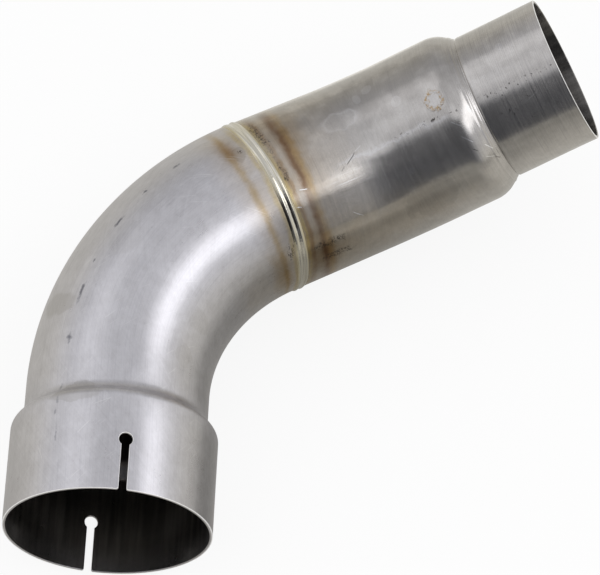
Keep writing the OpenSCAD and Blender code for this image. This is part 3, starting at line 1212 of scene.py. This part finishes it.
def twisted(tree, place, s, twist):
    return turn_about(tree, place, "Y", calc(tree, "MULTIPLY", s, twist))


def scratches(tree, place, across, along, limit):
    return ramp(tree, grained(tree, place, across, along, 1.0), limit, limit + SCRATCH_FADE)


def with_lines(tree, colour, s, around):
    """Each scratch has s and angle at both ends, then its half width, its tone and its strength."""
    for s0, at0, s1, at1, half_width, tone, share in LINE_MARKS:
        run, turn = s1 - s0, radians(at1 - at0) * TUBE_R
        length = hypot(run, turn)
        du = calc(tree, "SUBTRACT", s, (s0 + s1) / 2)
        dv = calc(tree, "MULTIPLY", calc(tree, "SUBTRACT", around, (at0 + at1) / 2), radians(1) * TUBE_R)
        along = calc(tree, "MULTIPLY_ADD", du, run / length, calc(tree, "MULTIPLY", dv, turn / length))
        aside = calc(tree, "MULTIPLY_ADD", du, -turn / length, calc(tree, "MULTIPLY", dv, run / length))
        ends = ramp(tree, calc(tree, "ABSOLUTE", along), length / 2, length / 2 - LINE_END)
        line = ramp(tree, calc(tree, "ABSOLUTE", aside), LINE_OUTER * half_width, LINE_INNER * half_width)
        colour = tinted(tree, colour, tone, times(tree, line, ends, share))
    return colour


print(len(LINE_MARKS), "single scratches")


# %% [markdown]
# Inside, the wall is painted dark as painted shade of the bore, with faint streaks along the tube, and it is
# lighter just behind the mouth as a painted reflection of the floor. A cut and deburred edge is painted
# nearly white and less metallic, a painted highlight on the deburred metal. The sheets carry both places
# as numbers for each point, so the material only has to read them.

# %% The inside and the cut edges
RIM_REFLECTION_DEPTH = 11
RIM_REFLECTION_SHARE = 0.7
BORE_SHADE_SHARE = 0.96
EDGE_DULL = 0.75


def with_insides_and_edges(tree, colour, s, place, shader):
    inside = add_node(tree, "ShaderNodeAttribute", attribute_name="inside").outputs["Fac"]
    cut = add_node(tree, "ShaderNodeAttribute", attribute_name="cut").outputs["Fac"]
    # Painted shade inside the bore, with faint streaks along it, lighter near the mouth as a painted
    # reflection.
    lengthwise_streaks = ramp(tree, grained(tree, place, 0.35, 0.02, 3.0), 0.35, 0.75)
    shaded_bore = tinted(tree, BORE_SHADE, DULL_STAIN, lengthwise_streaks)
    bore_shade_share = calc(tree, "MULTIPLY_ADD", ramp(tree, s, RIM_REFLECTION_DEPTH, 0), -RIM_REFLECTION_SHARE, BORE_SHADE_SHARE)
    colour = tinted(tree, colour, shaded_bore, times(tree, inside, bore_shade_share))
    # Cut edges: a painted highlight, near white and less metallic, on the deburred metal.
    colour = tinted(tree, colour, BURR_AND_HIGHLIGHT, cut)
    tree.links.new(calc(tree, "MULTIPLY_ADD", cut, -EDGE_DULL, 1.0), shader.inputs["Metallic"])
    return colour


# The number printed is how far behind the mouth the painted reflection reaches.
print(f"the mouth is wiped clean over {RIM_REFLECTION_DEPTH} mm")


# %% [markdown]
# The finish itself is bump, roughness and the direction of the brushing. The tube was brushed along its
# length, which spreads a highlight around it, and it is duller where the socket's shoulder was drawn.
# The sleeve was turned, which spreads a highlight along it and keeps the edges of a reflection sharp
# around it, less so where the die polished the spigot's shoulder.

# %% Bump, roughness and brushing
TUBE_ROUGHNESS = 0.235
TURNED_ROUGHNESS = 0.16
CLOUDY_ROUGHNESS = 0.06
GRAIN_ROUGHNESS = 0.05
DRAWN_ROUGHNESS = 0.12
BRUSHED_SPREAD = 0.40
TURNED_SPREAD = 0.92
POLISHED_SPREAD = 0.65
DRAWN_AT, DRAWN_REACH = SOFT_START + 3.5, 12
POLISHED_AT, POLISHED_REACH = SPIGOT_START - 3, 11


def new_metal(name):
    material = bpy.data.materials.new(name)
    material.use_nodes = True
    shader = material.node_tree.nodes["Principled BSDF"]
    shader.inputs["Metallic"].default_value = 1.0
    return material, material.node_tree, shader


def rough_finish(tree, shader, s, grain, cloudy, lathe_turned):
    base = TURNED_ROUGHNESS if lathe_turned else TUBE_ROUGHNESS
    worn = calc(tree, "MULTIPLY_ADD", cloudy, CLOUDY_ROUGHNESS, base)
    worn = calc(tree, "MULTIPLY_ADD", grain, GRAIN_ROUGHNESS, worn)
    if lathe_turned:
        polished = bump_at(tree, s, POLISHED_AT, POLISHED_REACH)
        spread_out = calc(tree, "MULTIPLY_ADD", polished, -POLISHED_SPREAD, TURNED_SPREAD)
        tree.links.new(spread_out, shader.inputs["Anisotropic"])
    else:
        drawn = bump_at(tree, s, DRAWN_AT, DRAWN_REACH)
        worn = calc(tree, "MULTIPLY_ADD", drawn, DRAWN_ROUGHNESS, worn)
        shader.inputs["Anisotropic"].default_value = BRUSHED_SPREAD
    tree.links.new(worn, shader.inputs["Roughness"])
    tree.links.new(brushed_along(tree, s, not lathe_turned), shader.inputs["Tangent"])


def bumpy(tree, shader, height):
    """Bump from a height in millimetres."""
    bump = add_node(tree, "ShaderNodeBump", {
        "Height": calc(tree, "MULTIPLY", height, MM), "Distance": 1.0, "Strength": 1.0})
    tree.links.new(bump.outputs[0], shader.inputs["Normal"])


print(f"roughness {TUBE_ROUGHNESS} on the bent tube, {TURNED_ROUGHNESS} on the sleeve")


# %% [markdown]
# Both tubes share broad clouds, a fine mottle, the stains, the heat tint and the soot. Those are made by
# the same two functions, so that a change to one tube's marks is a change to both.

# %% What both tubes share
def clouds_and_mottle(tree, place):
    return noise(tree, place, 0.05, 5.0, 0.62), noise(tree, place, 0.30, 6.0, 0.75)


def weathered(tree, colour, s, around, place):
    colour = with_stains(tree, colour, s, around, place, DULL_STAINS, DULL_STAIN)
    colour = with_stains(tree, colour, s, around, place, PALE_STAINS, DRIED_PALE)
    colour = with_heat_tint(tree, colour, s, around, place)
    return with_soot(tree, colour, s, around, place)


print("both tubes get the same stains, tint and soot")


# %% [markdown]
# The bent tube's tone comes from three layers of noise: grain along the tube, a slanting one and the
# mottle. Dark brushing lines are filtered over the stains, since brushing cuts through them all. The bump
# is only some micrometres deep, but in a polished skin it shows.

# %% The bent tube's steel
BRUSHED_DARK = (0.93, 0.93, 0.935)
LINE_DEPTH = 0.004
SLANT_DEPTH = 0.006
WAVE_DEPTH = 0.05


def bent_tube_steel():
    material, tree, shader = new_metal("brushed_stainless")
    place, s, around = pipe_place(tree)
    cloudy, mottle = clouds_and_mottle(tree, place)
    grain = grained(tree, place, 0.7, 0.035, 3.0, 0.6)
    slant = grained(tree, twisted(tree, place, s, 0.024), 1.5, 0.05)
    tone = calc(tree, "MULTIPLY_ADD", grain, 0.5, calc(tree, "MULTIPLY_ADD", slant, 0.5, cloudy))
    tone = calc(tree, "MULTIPLY_ADD", mottle, 1.2, tone)
    colour = tinted(tree, TUBE_DARK, TUBE_PALE, ramp(tree, tone, 1.30, 1.90, smooth=False))
    colour = weathered(tree, colour, s, around, place)
    colour = with_seam(tree, colour, s, around, place)
    fine = scratches(tree, twisted(tree, place, s, -0.03), 1.8, 0.12, 0.70)
    colour = tinted(tree, colour, BURR_AND_HIGHLIGHT, times(tree, fine, 0.2))
    brushing = grained(tree, place, 3.2, 0.08, 2.0, 0.6)
    colour = filtered(tree, colour, BRUSHED_DARK, ramp(tree, brushing, 0.48, 0.66))
    colour = with_lines(tree, colour, s, around)
    worn = calc(tree, "MULTIPLY_ADD", mottle, 1.0, calc(tree, "SUBTRACT", grain, 0.5))
    rough_finish(tree, shader, s, worn, cloudy, lathe_turned=False)
    tree.links.new(with_insides_and_edges(tree, colour, s, place, shader), shader.inputs["Base Color"])
    lines, waves = grained(tree, place, 3.0, 0.10), noise(tree, place, 0.10, 2.0)
    height = calc(tree, "MULTIPLY_ADD", lines, LINE_DEPTH, times(tree, waves, WAVE_DEPTH))
    bumpy(tree, shader, calc(tree, "MULTIPLY_ADD", slant, SLANT_DEPTH, height))
    return material


BENT_STEEL = bent_tube_steel()
print(BENT_STEEL.name, "has", len(BENT_STEEL.node_tree.nodes), "nodes")


# %% [markdown]
# On the sleeve the fine lines go around the tube, because a lathe held it. They are deeper and darker on
# the spigot, where the tool worked last. The grain of the roughness is the same turning, so that dark
# lines are also the smoother ones.

# %% The sleeve's steel
TURNING_DARK = (0.80, 0.80, 0.82)
TURNING_ON_SLEEVE = 0.43
TURNING_ADDED = 0.57
ON_SPIGOT = (219, 222)
TURNING_DEPTH = 0.006
TACK_DEPTH = 0.08


def turned_sleeve_steel():
    material, tree, shader = new_metal("turned_stainless")
    place, s, around = pipe_place(tree)
    cloudy, mottle = clouds_and_mottle(tree, place)
    grain = grained(tree, place, 0.03, 2.6, 2.0, 0.6)
    tone = calc(tree, "MULTIPLY_ADD", grain, 0.5, calc(tree, "MULTIPLY_ADD", mottle, 1.2, cloudy))
    colour = tinted(tree, TURNED_DARK, TURNED_PALE, ramp(tree, tone, 1.05, 1.65, smooth=False))
    colour = with_stains(tree, colour, s, around, place, SMOKED, SMOKED_STEEL)
    colour = weathered(tree, colour, s, around, place)
    colour = with_sleeve_specks(tree, colour, s, around, place)
    colour = with_tide_line(tree, colour, s, around, place)
    colour = with_pits_and_streaks(tree, colour, s, around, place)
    colour, tack_ring = with_tack(tree, colour, s, around, place)
    colour = with_lines(tree, colour, s, around)
    turning = ramp(tree, grained(tree, place, 0.04, 5.2, 2.0, 0.7), 0.42, 0.70)
    deeper = calc(tree, "MULTIPLY_ADD", ramp(tree, s, *ON_SPIGOT), TURNING_ADDED, TURNING_ON_SLEEVE)
    colour = filtered(tree, colour, TURNING_DARK, times(tree, turning, deeper))
    rough_finish(tree, shader, s, calc(tree, "SUBTRACT", 1.0, turning), cloudy, lathe_turned=True)
    tree.links.new(with_insides_and_edges(tree, colour, s, place, shader), shader.inputs["Base Color"])
    lines, waves = grained(tree, place, 0.04, 3.2), noise(tree, place, 0.14, 2.0)
    height = calc(tree, "MULTIPLY_ADD", lines, TURNING_DEPTH, times(tree, waves, WAVE_DEPTH))
    bumpy(tree, shader, calc(tree, "MULTIPLY_ADD", tack_ring, TACK_DEPTH, height))
    return material


TURNED_STEEL = turned_sleeve_steel()
print(TURNED_STEEL.name, "has", len(TURNED_STEEL.node_tree.nodes), "nodes")


# %% [markdown]
# Weld metal is cleaner and paler than the tube, cream with straw toes. It froze while the torch moved
# on, so its streaks run along the bead. On the side that shows, two painted dark reflections follow the
# bead's toes for a short way.

# %% The weld metal
BEAD_PALE = (0.80, 0.765, 0.66)
BEAD_CREAM = (0.62, 0.58, 0.47)
BEAD_STRAW = (0.58, 0.50, 0.30)
# Painted dark reflections along the toes of the bead.
TOE_DARK_REFLECTIONS = [
    spot(WELD_S - 1.60, 49, 0.42, 8.0, 0.85, edge=0.5),
    spot(WELD_S + 0.35, 50, 0.50, 8.0, 0.85, edge=0.5),
]
STREAK_DEPTH = 0.035


def weld_metal():
    material, tree, shader = new_metal("weld_metal")
    place, s, around = pipe_place(tree)
    streaks = grained(tree, place, 0.06, 1.6, 3.0, 0.6)
    colour = tinted(tree, BEAD_CREAM, BEAD_PALE, ramp(tree, streaks, 0.36, 0.62))
    toes = ramp(tree, distance(tree, s, WELD_S), 1.1, 2.1)
    colour = tinted(tree, colour, BEAD_STRAW, times(tree, toes, 0.8))
    # Each painted dark reflection is laid over the bead in the soot tone.
    for dark_sliver in TOE_DARK_REFLECTIONS:
        uneven = ragged(tree, place, 0.5, 0.8)
        dark = times(tree, patch(tree, s, around, dark_sliver, uneven), dark_sliver["share"])
        colour = tinted(tree, colour, SOOT_AND_DARK_REFLECTION, dark)
    tree.links.new(colour, shader.inputs["Base Color"])
    tree.links.new(calc(tree, "MULTIPLY_ADD", streaks, 0.10, 0.10), shader.inputs["Roughness"])
    bumpy(tree, shader, times(tree, streaks, STREAK_DEPTH))
    return material


WELD_METAL = weld_metal()
print(WELD_METAL.name, "has", len(WELD_METAL.node_tree.nodes), "nodes")


# %% [markdown]
# Now the sheets are rolled. Each piece takes the place of its solid in the picture and rides on the same
# body. The sleeve is a little more uneven than the bent tube, because it was formed by hand.

# %% Roll, ride and replace
PLAIN = {"Unevenness": 0.12 * MM, "Dent size": 22.0, "Dents from": 0.040, "Wander": 1.0 * MM,
         "Ripple height": 0.0, "Ripple pitch": 1.0}
UNEVEN_SLEEVE = {**PLAIN, "Unevenness": 0.40 * MM, "Dent size": 40.0, "Dents from": 0.142}
RIPPLED = {**PLAIN, "Unevenness": 0.0, "Ripple height": 0.012 * MM, "Ripple pitch": 1.25 * MM}

inlet_tube = rolled("brushed_inlet_tube", *inlet_tube_sheet(), BENT_STEEL, PLAIN)
sleeve = rolled("turned_outlet_sleeve", *sleeve_sheet(), TURNED_STEEL, UNEVEN_SLEEVE)
bead = rolled("rippled_weld_bead", *bead_sheet(), WELD_METAL, RIPPLED)

for piece, node_names, slot_name in (
        (inlet_tube, ["slotted_socket", "bent_tube"], "satin_stainless"),
        (sleeve, ["outlet_sleeve"], "satin_stainless"),
        (bead, ["weld_bead"], "weld_metal")):
    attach(piece, "root")
    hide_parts(*node_names)

# %% [markdown]
# The camera looks down steeply from in front of the socket through a long lens, as a catalogue picture
# is taken. Its place was worked out from the pipe's outline, so it is given as measured angles.

# %% Camera
VIEW_PLACE = Vector((0.111293, -0.416065, 0.935809))
VIEW_AZIMUTH = radians(-5.993)
VIEW_ELEVATION = radians(61.450)
VIEW_ROLL = radians(4.180)
IMAGE_WIDTH = 600
FOCAL_PIXELS = 3201.8
SENSOR_WIDTH = 36.0
NEAREST = 0.05


def make_camera():
    data = bpy.data.cameras.new("camera")
    data.sensor_width = SENSOR_WIDTH
    data.lens = FOCAL_PIXELS * SENSOR_WIDTH / IMAGE_WIDTH
    data.clip_start = NEAREST
    camera = bpy.data.objects.new("camera", data)
    bpy.context.scene.collection.objects.link(camera)
    ahead = Vector((sin(VIEW_AZIMUTH) * cos(VIEW_ELEVATION), cos(VIEW_AZIMUTH) * cos(VIEW_ELEVATION),
                    -sin(VIEW_ELEVATION)))
    level = ahead.cross(Vector((0, 0, 1))).normalized()
    above = level.cross(ahead)
    right = level * cos(VIEW_ROLL) - above * sin(VIEW_ROLL)
    up = right.cross(ahead)
    turn = Matrix((right, up, -ahead)).transposed()
    camera.matrix_world = Matrix.Translation(VIEW_PLACE) @ turn.to_4x4()
    bpy.context.scene.camera = camera
    return camera


camera = make_camera()
print(f"lens {camera.data.lens:.1f} mm")


# %% [markdown]
# Polished metal shows the room, so the room is most of the light. A large soft box stands on the right
# and gives the long highlight. A weaker one on the left lifts the other side. Their brightness is given
# for each square metre, so that a box can be made larger without making its reflection brighter.

# %% Lamps
OBJECT_CENTRE = Vector((0.06, 0.09, 0.0))
LAMP_TONE = (0.99, 1.0, 1.05)
LAMP_DISTANCE = 1.8


def from_centre(azimuth, elevation, distance):
    flat = cos(radians(elevation))
    return OBJECT_CENTRE + distance * Vector((sin(radians(azimuth)) * flat, cos(radians(azimuth)) * flat,
                                              sin(radians(elevation))))


def soft_box(name, azimuth, elevation, width, height, brightness, tilt=0.0):
    data = bpy.data.lights.new(name, "AREA")
    data.shape = "RECTANGLE"
    data.size, data.size_y = width, height
    data.energy = brightness * pi * width * height
    data.color = LAMP_TONE
    lamp = bpy.data.objects.new(name, data)
    bpy.context.scene.collection.objects.link(lamp)
    lamp.location = from_centre(azimuth, elevation, LAMP_DISTANCE)
    aim = (OBJECT_CENTRE - lamp.location).to_track_quat("-Z", "Y").to_matrix()
    lamp.rotation_euler = (aim @ Matrix.Rotation(radians(tilt), 3, "Z")).to_euler()
    lamp.visible_camera = False
    print(f"{name}: {data.energy:.2f} W")


soft_box("right_box", 90, 47, 1.90, 0.70, 1.38, tilt=-19)
soft_box("left_box", -52, 50, 1.0, 0.75, 0.36)


# %% [markdown]
# The dome of the world stands for the rest of the studio: pale walls, a few paler and darker parts, and
# one dark part behind the camera that gives the pipe its dark band. Only reflections see those parts.
# The backdrop is white for the camera and even for diffuse light, as in a picture cut out on white.

# %% The dome
DOME_LEVEL = 0.64
AMBIENT = 1.0
WHITE = (1.0, 1.0, 1.0)
COOL_LIGHT = (0.985, 1.0, 1.06)
WARM_LIGHT = (1.02, 1.0, 0.95)
DUSK_LIGHT = (0.96, 1.0, 1.14)
COOL_FROM, COOL_ABOVE = -5, 35
DOME_PARTS = [
    dict(az=0, el=16, wide=34, high=26, soft=(14, 12), level=0.54),
    dict(az=-72, el=18, wide=24, high=22, soft=(12, 8), level=0.78),
    dict(az=50, el=74, wide=60, high=12, soft=(25, 8), level=0.73),
    dict(az=-98, el=64, wide=26, high=6, soft=(14, 5), level=1.12),
    dict(az=165, el=76, wide=38, high=11, soft=(14, 4), level=0.92),
    dict(az=84, el=6, wide=38, high=16, soft=(10, 8), level=0.74),
    dict(az=178, el=25.5, wide=38, high=36, soft=(16, 3), slope=0.10, level=0.09),
]


def within(tree, away, half, soft):
    return ramp(tree, calc(tree, "ABSOLUTE", away), half + soft, half - soft)


def part_share(tree, azimuth, elevation, part):
    """1 inside a soft-edged part of the dome; slope tips its long side up towards the left."""
    gap = calc(tree, "WRAP", calc(tree, "SUBTRACT", azimuth, part["az"]), 180.0, -180.0)
    tipped = calc(tree, "MULTIPLY_ADD", gap, -part.get("slope", 0.0), part["el"])
    rise = calc(tree, "SUBTRACT", elevation, tipped)
    sideways, upwards = part["soft"]
    return times(tree, within(tree, gap, part["wide"], sideways), within(tree, rise, part["high"], upwards))


def dome_level(tree, azimuth, elevation):
    """Brightness of the dome; the last part's share is handed back too, because it is also bluer."""
    level = DOME_LEVEL
    for part in DOME_PARTS:
        inside = part_share(tree, azimuth, elevation, part)
        level = calc(tree, "ADD", level, times(tree, inside, calc(tree, "SUBTRACT", part["level"], level)))
    return level, inside


def make_world():
    world = bpy.data.worlds.new("dome")
    bpy.context.scene.world = world
    world.use_nodes = True
    tree = world.node_tree
    tree.nodes.clear()
    seen = add_node(tree, "ShaderNodeLightPath").outputs
    way = add_node(tree, "ShaderNodeTexCoord").outputs["Generated"]
    x, y, z = add_node(tree, "ShaderNodeSeparateXYZ", {0: way}).outputs
    elevation = calc(tree, "MULTIPLY", calc(tree, "ARCSINE", z), 180 / pi)
    azimuth = calc(tree, "MULTIPLY", calc(tree, "ARCTAN2", x, y), 180 / pi)
    light, dusk = dome_level(tree, azimuth, elevation)
    mirrored = calc(tree, "MAXIMUM", seen["Is Glossy Ray"], seen["Is Transmission Ray"])
    plain = calc(tree, "MULTIPLY", calc(tree, "SUBTRACT", 1.0, mirrored), AMBIENT)
    level = calc(tree, "ADD", calc(tree, "MULTIPLY", mirrored, light), plain)
    level = calc(tree, "MAXIMUM", level, seen["Is Camera Ray"])
    sky = tinted(tree, WARM_LIGHT, COOL_LIGHT, ramp(tree, elevation, COOL_FROM, COOL_ABOVE))
    sky = tinted(tree, sky, DUSK_LIGHT, dusk)
    tone = tinted(tree, WHITE, sky, mirrored)
    back = add_node(tree, "ShaderNodeBackground", {"Color": tone, "Strength": level})
    out = add_node(tree, "ShaderNodeOutputWorld")
    tree.links.new(back.outputs[0], out.inputs["Surface"])
    return world


print("the dome has", len(make_world().node_tree.nodes), "nodes")


# %% [markdown]
# The lower half of every tube mirrors the floor, so the floor is as much a lamp as the boxes are. To the
# camera it is nearly white, with a faint shadow. In reflections its colour carries painted shade and a
# painted glow: greyer and warmer, darker towards the viewer, darker in three places near the pipe, where
# it keeps light out, and brighter in two.

# %% The floor
FLOOR_HALF = 3.0
FLOOR_ALBEDO = 0.80
WHITE_FOR_CAMERA = 0.88
FLOOR_WARMTH = (1.02, 1.0, 0.94)
LIT_TONE = 0.56
FRONT_TONE = 0.56
FRONT_END, BACK_END = -0.14, 0.10
GLOW_SHARE = 0.45
GLOW_LEVEL = 1.15
FLOOR_SHADES = [
    dict(middle=(0.105, 0.025, 0.0), stretch=(1.0, 1.0, 0.0), reach=(0.0, 0.12), tone=0.36),
    dict(middle=(0.165, -0.12, 0.0), stretch=(1.0, 0.3, 0.0), reach=(0.02, 0.07), tone=0.76),
    dict(middle=(0.072, 0.100, 0.0), stretch=(1.0, 1.0, 0.0), reach=(0.01, 0.07), tone=0.72),
    dict(middle=(0.090, 0.205, 0.0), stretch=(0.7, 1.0, 0.0), reach=(0.01, 0.06), tone=1.60),
    dict(middle=(0.033, 0.028, 0.0), stretch=(1.5, 1.0, 0.0), reach=(0.004, 0.024), tone=1.45),
]


def floor_light(tree):
    """How bright each place of the floor is in a reflection."""
    place = tree.nodes.new("ShaderNodeNewGeometry").outputs["Position"]
    depth = add_node(tree, "ShaderNodeSeparateXYZ", {0: place}).outputs[1]
    back = ramp(tree, depth, FRONT_END, BACK_END, smooth=False)
    lit = calc(tree, "MULTIPLY_ADD", back, 1 - FRONT_TONE, FRONT_TONE)
    # Painted shade and painted light on the floor, seen only in reflections.
    for shade in FLOOR_SHADES:
        away = vector_calc(tree, "SUBTRACT", place, shade["middle"])
        away = vector_calc(tree, "LENGTH", vector_calc(tree, "MULTIPLY", away, shade["stretch"]))
        lit = times(tree, lit, ramp(tree, away, *shade["reach"], shade["tone"], 1.0))
    return combine(tree, *(calc(tree, "MULTIPLY", lit, LIT_TONE * share) for share in FLOOR_WARMTH))


def floor_paint():
    material = bpy.data.materials.new("pale_floor")
    material.use_nodes = True
    tree = material.node_tree
    tree.nodes.clear()
    seen = add_node(tree, "ShaderNodeLightPath").outputs
    shaded = floor_light(tree)
    tone = tinted(tree, (FLOOR_ALBEDO,) * 3, shaded, seen["Is Glossy Ray"])
    paint = add_node(tree, "ShaderNodeBsdfDiffuse", {"Color": tone})
    # A painted glow on the floor, seen in reflections.
    painted_glow = add_node(tree, "ShaderNodeEmission", {"Color": shaded, "Strength": GLOW_LEVEL})
    mirrored = calc(tree, "MULTIPLY", seen["Is Glossy Ray"], GLOW_SHARE)
    lifted = add_node(tree, "ShaderNodeMixShader", {0: mirrored, 1: paint.outputs[0], 2: painted_glow.outputs[0]})
    white = add_node(tree, "ShaderNodeEmission", {"Color": (*WHITE, 1.0), "Strength": 1.0})
    share = calc(tree, "MULTIPLY", seen["Is Camera Ray"], WHITE_FOR_CAMERA)
    surface = add_node(tree, "ShaderNodeMixShader", {0: share, 1: lifted.outputs[0], 2: white.outputs[0]})
    out = add_node(tree, "ShaderNodeOutputMaterial")
    tree.links.new(surface.outputs[0], out.inputs["Surface"])
    return material


def make_floor():
    half, low = FLOOR_HALF, min(corner[2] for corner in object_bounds())
    mesh = bpy.data.meshes.new("floor")
    corners = [(-half, -half, low), (half, -half, low), (half, half, low), (-half, half, low)]
    mesh.from_pydata(corners, [], [(0, 1, 2, 3)])
    floor = bpy.data.objects.new("floor", mesh)
    bpy.context.scene.collection.objects.link(floor)
    mesh.materials.append(floor_paint())
    floor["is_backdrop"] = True
    print(f"the floor lies {low / MM:.1f} mm from the socket's axis")


make_floor()
bpy.context.scene.view_settings.view_transform = "Standard"
